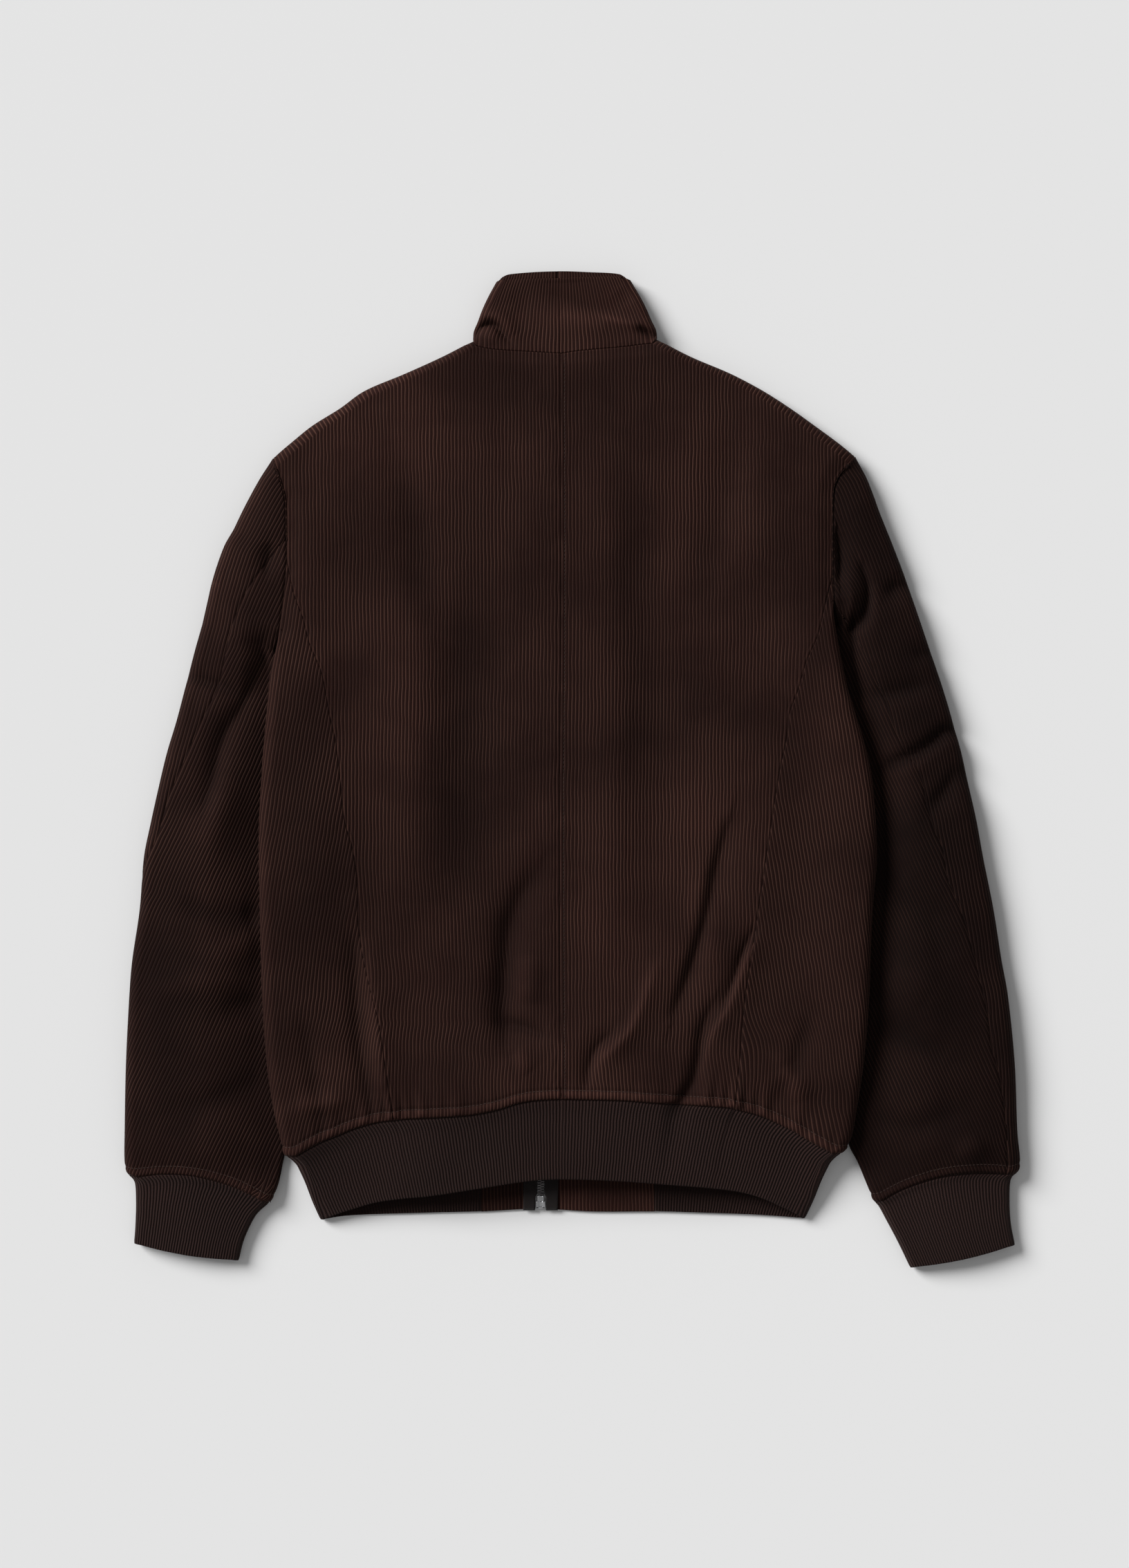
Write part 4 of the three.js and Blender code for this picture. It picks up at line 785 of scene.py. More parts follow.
def corduroy():
    pile, bare = (0.0096, 0.0034, 0.0027), (0.064, 0.030, 0.022)
    red, green, blue = pile
    mat, tree, shader = finish("corduroy", sheen=(0.055, 0.38, (0.85, 0.52, 0.44)),
                               Roughness=0.8, Specular_IOR_Level=0.06)
    height, furrow, nap, streak = placed(tree, WALES, weave_of(tree), 0.5)
    tone = between(tree, nap, 0.25, 0.8, 0.0, 1.0, "LINEAR")
    tips = dyed(tree, tone, toned(pile), toned(pile, 1.9))
    dusty = dyed(tree, between(tree, streak, 0.3, 0.75, 0.0, 0.35), tips,
                 (red * 1.5, green * 1.9, blue * 1.9, 1))
    place = place_of(tree)
    patch = between(tree, noise(tree, place, 13.0, 3.0, 0.6), 0.36, 0.62, 0.30, 0.95, "LINEAR")
    both = dyed(tree, times(tree, furrow, patch), dusty, toned(bare))
    # The nap attribute brings painted light and shade; crest brings wear on the high folds and
    # painted shade in the hollows.
    worn = placed(tree, WEAR_AND_PAINTED_LIGHT, place, mask(tree, "crest"), mask(tree, "nap"), both)
    feed(tree, shader.inputs["Base Color"], worn[0])
    relief(tree, shader, height, 0.0006, 0.9)
    return mat


def rib_knit():
    mat, tree, shader = finish("rib knit", sheen=(0.05, 0.5, (0.75, 0.55, 0.5)),
                               Roughness=0.9, Specular_IOR_Level=0.12)
    height, gap, fleck = placed(tree, KNIT_RIBS, weave_of(tree))
    yarn = dyed(tree, between(tree, fleck, 0.3, 0.75), (0.0120, 0.0052, 0.0045, 1),
                (0.0285, 0.0140, 0.0118, 1))
    # Painted shade: the gaps between the ribs are drawn much darker than the yarn.
    shade = dyed(tree, times(tree, gap, 0.75), yarn, (0.0045, 0.0026, 0.0024, 1))
    # crest brings wear on the high folds and painted shade in the hollows.
    worn = placed(tree, WEAR_AND_PAINTED_LIGHT, place_of(tree), mask(tree, "crest"), 1.0, shade)
    feed(tree, shader.inputs["Base Color"], worn[0])
    relief(tree, shader, height, 0.0008, 0.9)
    return mat


def tape_weave():
    mat, tree, shader = finish("zip tape", sheen=(0.15, 0.5, (0.5, 0.5, 0.5)),
                               Roughness=0.85, Specular_IOR_Level=0.2)
    weave = weave_of(tree)
    xyz = put(tree, "SeparateXYZ", weave)
    slant = plus(tree, xyz.outputs[0], xyz.outputs[1])
    twill = calc(tree, "SINE", times(tree, slant, TAU))
    fleck = noise(tree, weave, 3.0, 3.0)
    shade = between(tree, plus(tree, times(tree, twill, 0.2), fleck), 0.2, 0.9)
    feed(tree, shader.inputs["Base Color"],
         dyed(tree, shade, (0.007, 0.0045, 0.0042, 1), (0.022, 0.0155, 0.0145, 1)))
    relief(tree, shader, twill, 0.0002)
    return mat


def metal(name, dark, bright, rough):
    mat, tree, shader = finish(name, Metallic=1.0)
    place = place_of(tree)
    worn = noise(tree, place, 420.0, 3.0)
    stain = noise(tree, place, 90.0, 2.0)
    feed(tree, shader.inputs["Base Color"],
         dyed(tree, between(tree, stain, 0.3, 0.7), toned(dark), toned(bright)))
    feed(tree, shader.inputs["Roughness"],
         between(tree, worn, 0.3, 0.7, rough * 0.75, rough * 1.35, "LINEAR"))
    relief(tree, shader, worn, 0.0001, 0.25)
    return mat


def thread(name, colour):
    mat, tree, shader = finish(name, sheen=(0.05, 0.5, (0.7, 0.55, 0.5)), Roughness=0.8)
    ply = noise(tree, place_of(tree), 900.0, 2.0)
    feed(tree, shader.inputs["Base Color"],
         dyed(tree, ply, toned(colour, 0.6), toned(colour, 1.4)))
    return mat


CORDUROY = corduroy()
RIB_KNIT = rib_knit()
TAPE = tape_weave()
NICKEL = metal("nickel", (0.52, 0.52, 0.53), (0.80, 0.80, 0.82), 0.24)
GUNMETAL = metal("gunmetal", (0.11, 0.10, 0.10), (0.30, 0.29, 0.29), 0.34)
THREAD = thread("brown thread", (0.036, 0.018, 0.013))


# Back panels

RUN_DX, RUN_DY = 2.0, 5.0


def wale_run():
    """Cloth counted from the centre back along level lines, so that wales follow the folds."""
    xs, ys = np.arange(-270, 271, RUN_DX), np.arange(-310, 381, RUN_DY)
    gx, gy = np.meshgrid(xs, ys)
    z = body_top(gx, gy)
    step = np.hypot(RUN_DX, np.diff(z, axis=1))
    run = np.pad(np.cumsum(step, axis=1), ((0, 0), (1, 0)))
    centre = np.array([np.interp(CENTRE_BACK.x_at(y), xs, run[i]) for i, y in enumerate(ys)])
    return xs, ys, run - centre[:, None]


RUN_X, RUN_Y, RUN = wale_run()


def counted(x, y):
    """Looks up wale_run at places between its grid lines."""
    i = np.clip((y - RUN_Y[0]) / RUN_DY, 0, len(RUN_Y) - 1.001)
    j = np.clip((x - RUN_X[0]) / RUN_DX, 0, len(RUN_X) - 1.001)
    i0, j0 = i.astype(int), j.astype(int)
    fi, fj = i - i0, j - j0
    return ((1 - fi) * ((1 - fj) * RUN[i0, j0] + fj * RUN[i0, j0 + 1])
            + fi * ((1 - fj) * RUN[i0 + 1, j0] + fj * RUN[i0 + 1, j0 + 1]))


def shoulder_round(cut):
    """Inner edge of the shoulder fold, nine places from the armhole to the neck."""
    j = np.arange(9) / 8
    p = cut["shoulder"](j)
    d = unit(cut["shoulder"](j + 0.3 / 8) - cut["shoulder"](j - 0.3 / 8))
    inward = np.stack([d[:, 1] * -cut["sign"], d[:, 0] * cut["sign"]], -1)
    q = p + inward * mix(SHOULDER_W, NECK_W, j)[:, None]
    q[0], q[8] = cut["arm"](0), cut["neck"](0)
    return q


BACK_COLS = np.unique(np.r_[spread(116, 0.72), SHOULDER_SHARE])
FRONT_COLS = spread(60, 0.5)
NECK_Y, HEM_Y = at([(0, 508), (0, 1644)])[:, 1]  # ends of the fronts at the zip
GRIDS = {}  # finished grids of places, for the pieces that join them


def back_panel(side):
    """Half of the back, from below the shoulder over its fold and down to the hem."""
    cut = CUT[side]
    u, v = BACK_COLS, spread(200, 0.55)
    rim = shoulder_round(cut)
    over = np.clip(u / SHOULDER_SHARE, 0, 1)
    inner = steps(rim, over)
    outline = cut["shoulder"](over)
    out, w = unit(outline - inner), np.linalg.norm(outline - inner, axis=-1)[:, None]
    neck = cut["neck"]((u - SHOULDER_SHARE) * 3)
    top = np.where((u <= SHOULDER_SHARE)[:, None], inner, neck)
    # The armhole takes the first third of the rows, the side back seam the rest.
    left = np.where((v < 1 / 3)[:, None], cut["arm"](v * 3), cut["side_back"](v * 1.5 - 0.5))
    q = panel(left, CENTRE_BACK(v), top, cut["hem_back"](u), v, u)
    flat = raised(q, body_top(q[..., 0], q[..., 1]))
    crown = body_top(inner[:, 0], inner[:, 1])[:, None]
    cap = []
    for k in range(CAP_SEAM):
        seam = inner - out * SEAM_IN * (1 - k / CAP_SEAM)
        cap.append(raised(seam, zip_lift(seam[:, 0], seam[:, 1])))
    for k in range(CAP_ARC):
        a = math.pi * (1 - k / CAP_ARC)
        cap.append(np.hstack([inner + out * w * math.sin(a), crown / 2 * (1 + math.cos(a))]))
    cap = np.array(cap)
    p = np.concatenate([cap, flat])
    rows, cols = p.shape[:2]
    skip = np.zeros((rows - 1, cols - 1), bool)
    skip[:len(cap)] = u[1:] > SHOULDER_SHARE + 1e-6
    down = run_along(p, 0)
    p = settle(p, left=0.6, right=0.5, bottom=0.5,
               stitch=[("bottom", HEM_STITCH, 0.8, 0.7, 0.95),
                       ("right", CENTRE_STITCH, 0.3, 0.15, 0.2), ("left", 3.0, 0.2, 0.25, 0.25)])
    folded = np.arange(rows)[:, None] < len(cap)
    x = np.where(folded, inner[None, :, 0], p[..., 0])
    y = np.where(folded, inner[None, :, 1], p[..., 1])
    along = np.where(folded, y + (down[len(cap)] - down), y)
    weave = np.stack([counted(x, y) / WALE, along], -1)
    obj = laid(f"back_{side}_cloth", p, weave, CLOTH, CORDUROY, skip,
               painted_strip_light(p, HEM_STITCH, 1))
    sew(obj, [f"back_{side}"], p, skip)
    GRIDS[f"back_{side}"] = p[len(cap):]
    GRIDS[f"cap_{side}"] = cap
    GRIDS[f"rim_{side}"] = rim


def side_panel(side):
    """From the side back seam round the side fold to the front, from armpit to hem."""
    cut = CUT[side]
    sign = cut["sign"]
    u, v = spread(SIDE_TOP, 0.55), spread(190, 0.45)
    s = v ** 1.35
    fold = cut["edge"].fine
    edge = Line(np.vstack([cut["arm_low"](1), fold[::7], fold[-1]]), mm=True)(s)
    back, front = cut["side_back"](v), cut["side_front"](v)
    mid = edge + np.array([-sign * FOLD_W, 0]) * ease(0, 1, s * 13)[:, None]
    armhole, hem = cut["arm_low"](u), cut["hem_side"](u)
    q = mix(back[:, None], mid[:, None], u[None, :, None])
    high = armhole - mix(back[0], mid[0], u[:, None])
    low = hem - mix(hem[0], hem[-1], u[:, None])
    down = v[:, None, None]
    q = q + high[None] * (1 - ease(0, 0.25, down)) + low[None] * ease(0.7, 1, down)
    tuck = unit(q[:, 0] - q[:, 1]) * 0.7 * ease(0, 0.05, v)[:, None]
    top = raised(q, body_top(q[..., 0], q[..., 1]))
    top[:, 0, :2] += tuck
    z1 = body_top(mid[:, 0], mid[:, 1])
    z0 = mix(z1[0] - 6, SIDE_LOW, ease(0, 3, s * ROWS_SIDE))
    out = np.tile([float(sign), 0.0], (len(v), 1))
    turned, face = [], []
    for k in range(1, SIDE_ARC + 1):
        a = math.pi * k / SIDE_ARC
        turned.append(raised(mid + (edge - mid) * math.sin(a),
                             (z1 + z0) / 2 + (z1 - z0) / 2 * math.cos(a)))
        face.append(raised(out * math.sin(a), math.cos(a)))
    last = turned[-1][:, :2]
    for k in range(1, SIDE_UNDER + 1):
        t = k / SIDE_UNDER
        turned.append(raised(mix(last, front, t), z0 * (1 - ease(0.14, 0.72, t))))
        face.append(np.tile([0.0, 0.0, -1.0], (len(v), 1)))
    p = np.concatenate([top, np.stack(turned, 1)], 1)
    x, y = top[..., 0], top[..., 1]
    up = unit(np.stack([body_top(x - 1, y) - body_top(x + 1, y),
                        body_top(x, y - 1) - body_top(x, y + 1), np.full(x.shape, 2.0)], -1))
    face = np.concatenate([up, np.stack(face, 1)], 1)
    level = np.hypot(np.diff(p[..., 0], axis=1), np.diff(p[..., 2], axis=1))
    across = back[:, :1] * sign + np.pad(np.cumsum(level, axis=1), ((0, 0), (1, 0)))
    slope = math.radians(10 if sign < 0 else 9)
    # The wales swing to and fro above the hem, where the cloth is drawn together.
    swing = through([[0], [0.5], [5], [2], [-3.5], [-7], [-8]], (-190 - p[..., 1]) / 140)[..., 0]
    reach = p[..., 0] * sign
    swing = swing * ease(140, 165, reach) * (1 - ease(190, 240, reach)) * (1 if sign > 0 else 0.5)
    wale = (across * math.cos(slope) + p[..., 1] * math.sin(slope) - swing) / WALE
    p = settle(p, left=0.75, right=0.5, top=0.5, bottom=0.5, n=face,
               stitch=[("bottom", HEM_STITCH, 0.8, 0.7, 1.2), ("left", 3.0, 0.1, 0.2, 0.25)])
    weave = np.stack([wale, p[..., 1]], -1)
    obj = laid(f"side_{side}_cloth", p, weave, CLOTH, CORDUROY,
               tone=painted_strip_light(p, HEM_STITCH, PIECE_PAINTED_LIGHT[f"side_{side}"]))
    sew(obj, [f"side_{side}"], p)
    GRIDS[f"side_{side}"] = p


def front_panel(side):
    """A front, flat on the surface below the back."""
    cut = CUT[side]
    u, v = FRONT_COLS, spread(120, 0.5)
    n = ROWS_ARM + cut["rows_low"] - 2
    share = n / (n + ROWS_SIDE)
    rim = GRIDS[f"rim_{side}"]
    outline = cut["shoulder"](np.arange(9) / 8)
    seam = rim - unit(outline - rim) * SEAM_IN
    y = mix(NECK_Y, HEM_Y, v)
    zip_edge = np.stack([ZIP.x_at(y) + cut["sign"] * ZIP_HALF, y], -1)
    arm = cut["arm_front"](np.clip(v / share, 0, 1))
    arm = mix(seam[0], arm, ease(0, 0.05, v)[:, None])
    left = np.where((v < share)[:, None], arm, cut["side_front"]((v - share) / (1 - share)))
    neck = Line(np.vstack([seam[-1:], at(cut["neck_front"])]), mm=True)
    top = np.where((u <= SHOULDER_SHARE)[:, None], steps(seam, u * 1.5),
                   neck((u - SHOULDER_SHARE) * 3))
    top[-1] = zip_edge[0]
    bottom = np.where((u <= TAB_SHARE)[:, None], cut["hem_front"](u / TAB_SHARE),
                      cut["hem_tab"]((u - TAB_SHARE) / (1 - TAB_SHARE)))
    bottom[-1] = zip_edge[-1]
    q = panel(left, zip_edge, top, bottom, v, u)
    p = raised(q, zip_lift(q[..., 0], q[..., 1]))
    weave = np.stack([p[..., 0] / WALE, p[..., 1]], -1)
    obj = laid(f"front_{side}_cloth", p, weave, CLOTH, CORDUROY)
    sew(obj, [f"front_{side}"], p)
    GRIDS[f"front_{side}"] = p


# Sleeves: rho goes round a section, 0 to 1 up the inner fold, 1 to 2 over the top,
# 2 to 4 round the outer fold, 4 to 5 underneath and 5 to 6 back to the inner fold.

def section(f, rho):
    """Places, the share of the folds that each takes, and where the fold is read.
    f holds the edges in and out, the widths of their rounds wi and wo, the heights zin and
    zo, crown for the middle's height over them, bow for the bend towards the hand, neck for
    the drop at the cuff, reach for the underside's lead, and floor where an open section
    meets the front."""
    n = len(rho)
    r = np.mod(rho, 6)
    way = unit(f["out"] - f["in"])
    down = np.array([way[1], -way[0]] if way[0] < 0 else [-way[1], way[0]])
    in_a, out_a = f["in"] + way * f["wi"], f["out"] - way * f["wo"]
    reach = 1 if f["open"] else 0.55

    def top_z(u):
        edge = f["zin"] + (f["zo"] - f["zin"]) * ease(0, reach, u)
        return edge + f["crown"] * 4 * u * (1 - u) - f["neck"]

    def top_place(u):
        return mix(in_a, out_a, u[:, None]) + down * (f["bow"] * 4 * u * (1 - u))[:, None]

    p, share, spot = np.zeros((n, 3)), np.zeros(n), np.zeros((n, 2))
    spot[:] = out_a
    top = (r > 1) & (r <= 2)
    u = r[top] - 1
    q = top_place(u)
    dip = 0.8 * np.exp(-(np.linalg.norm(q - in_a, axis=1) / 1.3) ** 2) if f["open"] else 0
    p[top] = np.column_stack([q, top_z(u) - dip])
    share[top] = ease(0, 0.15, u) if f["open"] else ease(0.02, 0.2, u)
    spot[top] = q
    fold = (r > 2) & (r <= 4)
    a = math.pi / 2 * (r[fold] - 2)
    t1 = float(top_z(np.array(1.0)))
    p[fold] = np.column_stack([out_a + way * (f["wo"] * np.sin(a))[:, None],
                               t1 / 2 * (1 + np.cos(a))])
    share[fold] = (1 + np.cos(a)) / 2
    low = (r > 4) & (r <= 5)
    u = r[low] - 4
    if f["open"]:
        p[low] = np.column_stack([mix(out_a, f["floor"], u[:, None]), np.zeros(len(u))])
        hide = (rho >= 5) | (rho < 0) & (r >= 5)
        p[hide] = [*f["floor"], 0]
        first = (r <= 1) & ~hide
        p[first] = [*(f["in"] - way), f["zin"] - 1.1]
        share[hide | first] = 0
        return p, share, spot
    t0 = float(top_z(np.array(0.0)))
    up = r <= 1
    a = math.pi / 2 * r[up]
    p[up] = np.column_stack([in_a - way * (f["wi"] * np.cos(a))[:, None],
                             t0 / 2 * (1 + np.sin(a))])
    lag = (f["bow"] * 0.5 - f["reach"]) * 4 * u * (1 - u)
    p[low] = np.column_stack([mix(out_a, in_a, u[:, None]) + down * lag[:, None],
                              np.zeros(len(u))])
    turn = r > 5
    a = math.pi / 2 * (r[turn] - 5)
    p[turn] = np.column_stack([in_a - way * (f["wi"] * np.sin(a))[:, None],
                               t0 / 2 * (1 - np.cos(a))])
    return p, share, spot


# Columns are shared out by how long each part of the round is.
ROUND = (np.array([-2, -1, 0, 1, 2, 3, 4, 5, 6, 7, 8.0]),
         np.cumsum([0, 22, 8, 10, 74, 11, 9, 22, 8, 10, 74.0]))
OPEN_ROWS = 52  # rows of a sleeve along the armhole


def sleeve_frames(side):
    """Sections from the shoulder to the cuff: open ones along the armhole, closed ones below.
    Each is (section, next section, share of the next one)."""
    cut = CUT[side]
    n_open = ROWS_ARM + cut["rows_low"]
    open_end = 0.205 if cut["sign"] < 0 else 0.19
    arm_front = cut["arm_front"](np.arange(n_open - 1) / (n_open - 2))
    rim = GRIDS[f"rim_{side}"][0]
    arm_front[0] = rim - unit(cut["shoulder"](0.0) - rim) * SEAM_IN
    floor = np.vstack([arm_front, at(cut["arm_floor"])])
    z0 = float(body_top(*cut["arm"](0)))

    def open_frame(i):
        o = cut["outer"](open_end * (i / n_open) ** 1.1)
        p = cut["arm"](i / 8) if i <= 8 else cut["arm_low"]((i - 8) / cut["rows_low"])
        return dict(open=True, floor=steps(floor, i / n_open), out=o, zin=float(body_top(*p)),
                    wi=0.0, wo=float(mix(np.linalg.norm(o - p), 10, ease(0, 2, i))), row=i,
                    zo=float(mix(z0, SLEEVE_HIGH, ease(0, 4, i))),
                    crown=float(2.5 * ease(1, 6, i)),
                    bow=0.0, neck=0.0, t=-1.0, **{"in": p})

    def closed_frame(t):
        end = float(ease(0.93, 1, t))
        high = mix(11.5, mix(8.4, 14, end), float(np.clip(t * 15, 0, 1)))
        return dict(open=False, out=cut["outer"](mix(open_end + 0.04, 1, t)), zin=high,
                    wi=mix(5, 8, end), wo=10.0, zo=mix(SLEEVE_HIGH, 16, end),
                    crown=mix(3, 1.5, end), bow=10 * float(ease(0.8, 1, t)), neck=0.0, reach=0.0,
                    row=n_open + 1 + 15 * t, t=t, **{"in": cut["inner"](t)})

    last, first = open_frame(n_open), closed_frame(0.0)
    frames = [(open_frame(i), None, 0.0) for i in np.linspace(0, n_open, OPEN_ROWS)]
    frames += [(last, first, w) for w in np.linspace(0, 1, 10)[1:-1]]
    frames += [(closed_frame(t), None, 0.0) for t in spread(136, 0.3)]
    return frames, n_open


def ring(frame, rho):
    """The section at a frame, or between two of them."""
    a, b, w = frame
    here = section(a, rho)
    if b is None:
        return here
    return [mix(old, new, w) for old, new in zip(here, section(b, rho))]


def seam_lines(cut, frames, n_open):
    """Where each frame crosses the back and the front sleeve seam, as rho."""
    probe = 1 + np.linspace(0, 1, 121)
    seam = cut["sleeve_seam"]
    last_y = seam(1.0)[1]
    back, front = [], []
    for frame in frames:
        a, b, w = frame
        row = a["row"] + (0 if b is None else w)
        place = ring(frame, probe)[0]
        cross = 1.0
        if row > cut["seam_row"]:
            cross = probe[np.argmin(off(seam.fine, place[:, 0], place[:, 1])[0])]
        cross = mix(1.0, cross, float(np.clip(row - cut["seam_row"], 0, 1)))
        y = ring(frame, np.array([2.0]))[0][0, 1]
        if cut["turn"] and y <= last_y:
            cross = mix(2, 3.25, float(ease(0, 50, last_y - y)))
        back.append(cross)
        # The front seam lies underneath, and on a turned sleeve it comes round towards the hand.
        turn = 2.38 * float(ease(0.72, 1, max(a["t"], 0))) if cut["turn"] else 0
        front.append(mix(6, 4.8 + turn, float(np.clip(row - (n_open - 2), 0, 1))))
    back, front = np.array(back), np.array(front)
    if cut["turn"]:
        smooth = np.convolve(np.pad(back, 4, mode="edge"), np.ones(9) / 9, "valid")
        back = np.where(back > 1.3, smooth, back)
    return back, front


def sleeve_cloth(frames, lo, hi, cols, split=None):
    """Places between two seams, and at each frame the column on the outer fold. split is
    how many columns come before the armhole."""
    s0, s1, hole = np.interp(lo, *ROUND), np.interp(hi, *ROUND), np.interp(0, *ROUND)
    place, share, spot, peak = [], [], [], []
    for i, frame in enumerate(frames):
        rho = np.interp(mix(s0[i], s1[i], spread(cols, 0.6)), ROUND[1], ROUND[0])
        if split is not None:
            # One column on each side of the armhole, so that its edges stay apart.
            before = np.interp(np.linspace(s0[i], hole, split), ROUND[1], ROUND[0])
            after = np.interp(mix(hole, s1[i], spread(cols - split, 0.6)), ROUND[1], ROUND[0])
            rho = np.r_[np.minimum(before, -1e-6), np.maximum(after, 1e-6)]
        for known, new in zip((place, share, spot), ring(frame, rho)):
            known.append(new)
        peak.append(np.interp(3, rho, np.arange(cols)) + min(0, (3 - rho[0]) * 12))
    p, share, spot = np.array(place), np.array(share), np.array(spot)
    z = creases(spot[..., 0], spot[..., 1], "sleeve") + drape(spot[..., 0], spot[..., 1])
    p[..., 2] += z * share
    return grounded(p), np.array(peak)


def outer_wales(p, peak):
    """Wales of the upper sleeve, counted from the outer fold."""
    along = run_along(p, 1)
    k = np.arange(p.shape[1])
    far = np.array([np.interp(j, k, row) + min(j, 0) * (row[1] - row[0])
                    for j, row in zip(peak, along)])
    return (far[:, None] - along) / WALE


def inner_wales(p, sign, split):
    """Wales of the under sleeve, at a slant to the arm."""
    slope = math.radians(24)
    start = p[:, split, :2]
    way = unit(p[:, -1, :2] - start)
    along = run_along(p, 1)
    far = along - along[:, split:split + 1]
    level = start[:, None] + way[:, None] * far[..., None]
    return (level * np.array([math.cos(slope), sign * math.sin(slope)])).sum(-1) / WALE


def sleeve(side):
    """Upper and under sleeve. Gives back the sections that the cuff starts from."""
    cut = CUT[side]
    split = 34
    frames, n_open = sleeve_frames(side)
    back, front = seam_lines(cut, frames, n_open)
    upper, peak = sleeve_cloth(frames, back, front, 120)
    under = sleeve_cloth(frames, front - 6, back, 128, split)[0]
    armhole = np.zeros((under.shape[0] - 1, under.shape[1] - 1), bool)
    armhole[:OPEN_ROWS - 1, split - 1] = True
    puckers = [] if cut["turn"] else [("left", 2.2, 0.25, 0.3, 0.25)]
    halves = [
        ("upper", upper, outer_wales(upper, peak), None,
         dict(left=0.6, right=0.4, stitch=[("bottom", CUFF_STITCH, 0.5, 0.4, 0.3), *puckers])),
        ("under", under, inner_wales(under, cut["sign"], split), armhole,
         dict(right=0.6, stitch=[("bottom", CUFF_STITCH, 0.5, 0.4, 0.35)]))]
    for name, p, wale, skip, seams in halves:
        weave = np.stack([wale, p[..., 1]], -1)
        p = grounded(settle(p, bottom=0.8, **seams))
        obj = laid(f"sleeve_{side}_{name}_cloth", p, weave, CLOTH, CORDUROY, skip,
                   painted_strip_light(p, CUFF_STITCH, PIECE_PAINTED_LIGHT[f"sleeve_{side}"]))
        sew(obj, [f"sleeve_{side}_{name}"], p, skip)
        GRIDS[f"sleeve_{side}_{name}"] = p
    return frames


def cuff(side, frames):
    """Ribbed cuff, closed round the wrist, from the sleeve's last section on."""
    cut = CUT[side]
    knots = np.array([0, 0.1, 0.38, 0.7, 1])
    c_in, c_out = at(cut["cuff_in"]), at(cut["cuff_out"])
    rho = np.interp(np.linspace(*np.interp([0, 6], *ROUND), 184), ROUND[1], ROUND[0])
    rho[0], rho[-1] = 1e-6, 6 - 1e-6
    place = []
    for t in spread(34, 0.4):
        k = np.interp(t, knots, np.arange(5)) / 4
        f = dict(open=False, out=through(c_out, k), zin=mix(14, 12, t), wi=mix(8, 6, t),
                 wo=mix(10, 7, t), zo=mix(16, 13.5, t), crown=mix(1.5, 2, t),
                 bow=10 * (1 - t) ** 1.5 - 2 * t, neck=float(2.2 * ease(0, 0.1, t) - t),
                 reach=3 * t, **{"in": through(c_in, k)})
        p, share, spot = section(f if place else frames[-1][0], rho)
        x, y = spot[:, 0], spot[:, 1]
        p[:, 2] += share * (1 - 0.7 * t) * (creases(x, y, "sleeve") + 0.8 * drape(x, y * 1.4))
        place.append(grounded(p))
    p = np.array(place)
    p[:, -1] = p[:, 0]
    ribs = run_along(p, 1)[12]
    ribs = np.round(ribs[-1] / RIB) * ribs / ribs[-1]
    weave = np.stack([np.broadcast_to(ribs, p.shape[:2]), run_along(p, 0)], -1)
    p = settle(p, top=1.2, bottom=0.3)
    p[:, -1] = p[:, 0]
    p = grounded(p)
    obj = laid(f"cuff_{side}_knit", p, weave, KNIT, RIB_KNIT)
    sew(obj, [f"cuff_{side}"], p)


# Hem band and tabs

HEM_BACK = Line([(462, 1767), (504, 1752), (543, 1740), (581, 1734), (620, 1730), (683, 1720),
                 (766, 1707), (811, 1704.5), (890, 1707), (973, 1713.5), (1056, 1722),
                 (1097, 1732), (1135, 1749), (1166, 1765)])
HEM_FRONT = Line([(462, 1767), (504, 1761), (620, 1757), (696, 1755), (778, 1751),
                  (857, 1755), (947, 1755), (1015, 1757), (1097, 1760), (1166, 1765)])
TOP_CORNER = at([(412, 1671), (1219, 1667)])
LOW_CORNER = at([(462, 1767), (1166, 1765)])
RIB_T = np.array([0, 0.1, 0.4, 0.72, 1])
RIB_IN = np.array([0, 5.5, 4.5, 1.5, 0])
RIB_DROP = np.array([0, 2.2, 1, 0, 0])


def rounded(t, values):
    """Values along the ribbing with the corners between their straight parts eased."""
    w = min(0.08, t, 1 - t)
    return float(np.interp(t + w * np.linspace(-1, 1, 9), RIB_T, values).mean())


def joined(parts, arc_turn):
    """Both sides' edges as one round from zip to zip: places, kind, turn round the fold and
    side. parts holds (places, kind) for each side from its zip to the middle of the back."""
    rounds = []
    for side, cut in CUT.items():
        p = np.vstack([a for a, _ in parts[side]])
        kind = np.concatenate([[b] * len(a) for a, b in parts[side]])
        turn = np.zeros(len(p))
        turn[kind == "arc"] = arc_turn
        mine = (p, kind, turn, np.full(len(p), cut["sign"]))
        rounds.append(mine if cut["sign"] < 0 else [a[::-1][1:] for a in mine])
    return [np.concatenate(both) for both in zip(*rounds)]


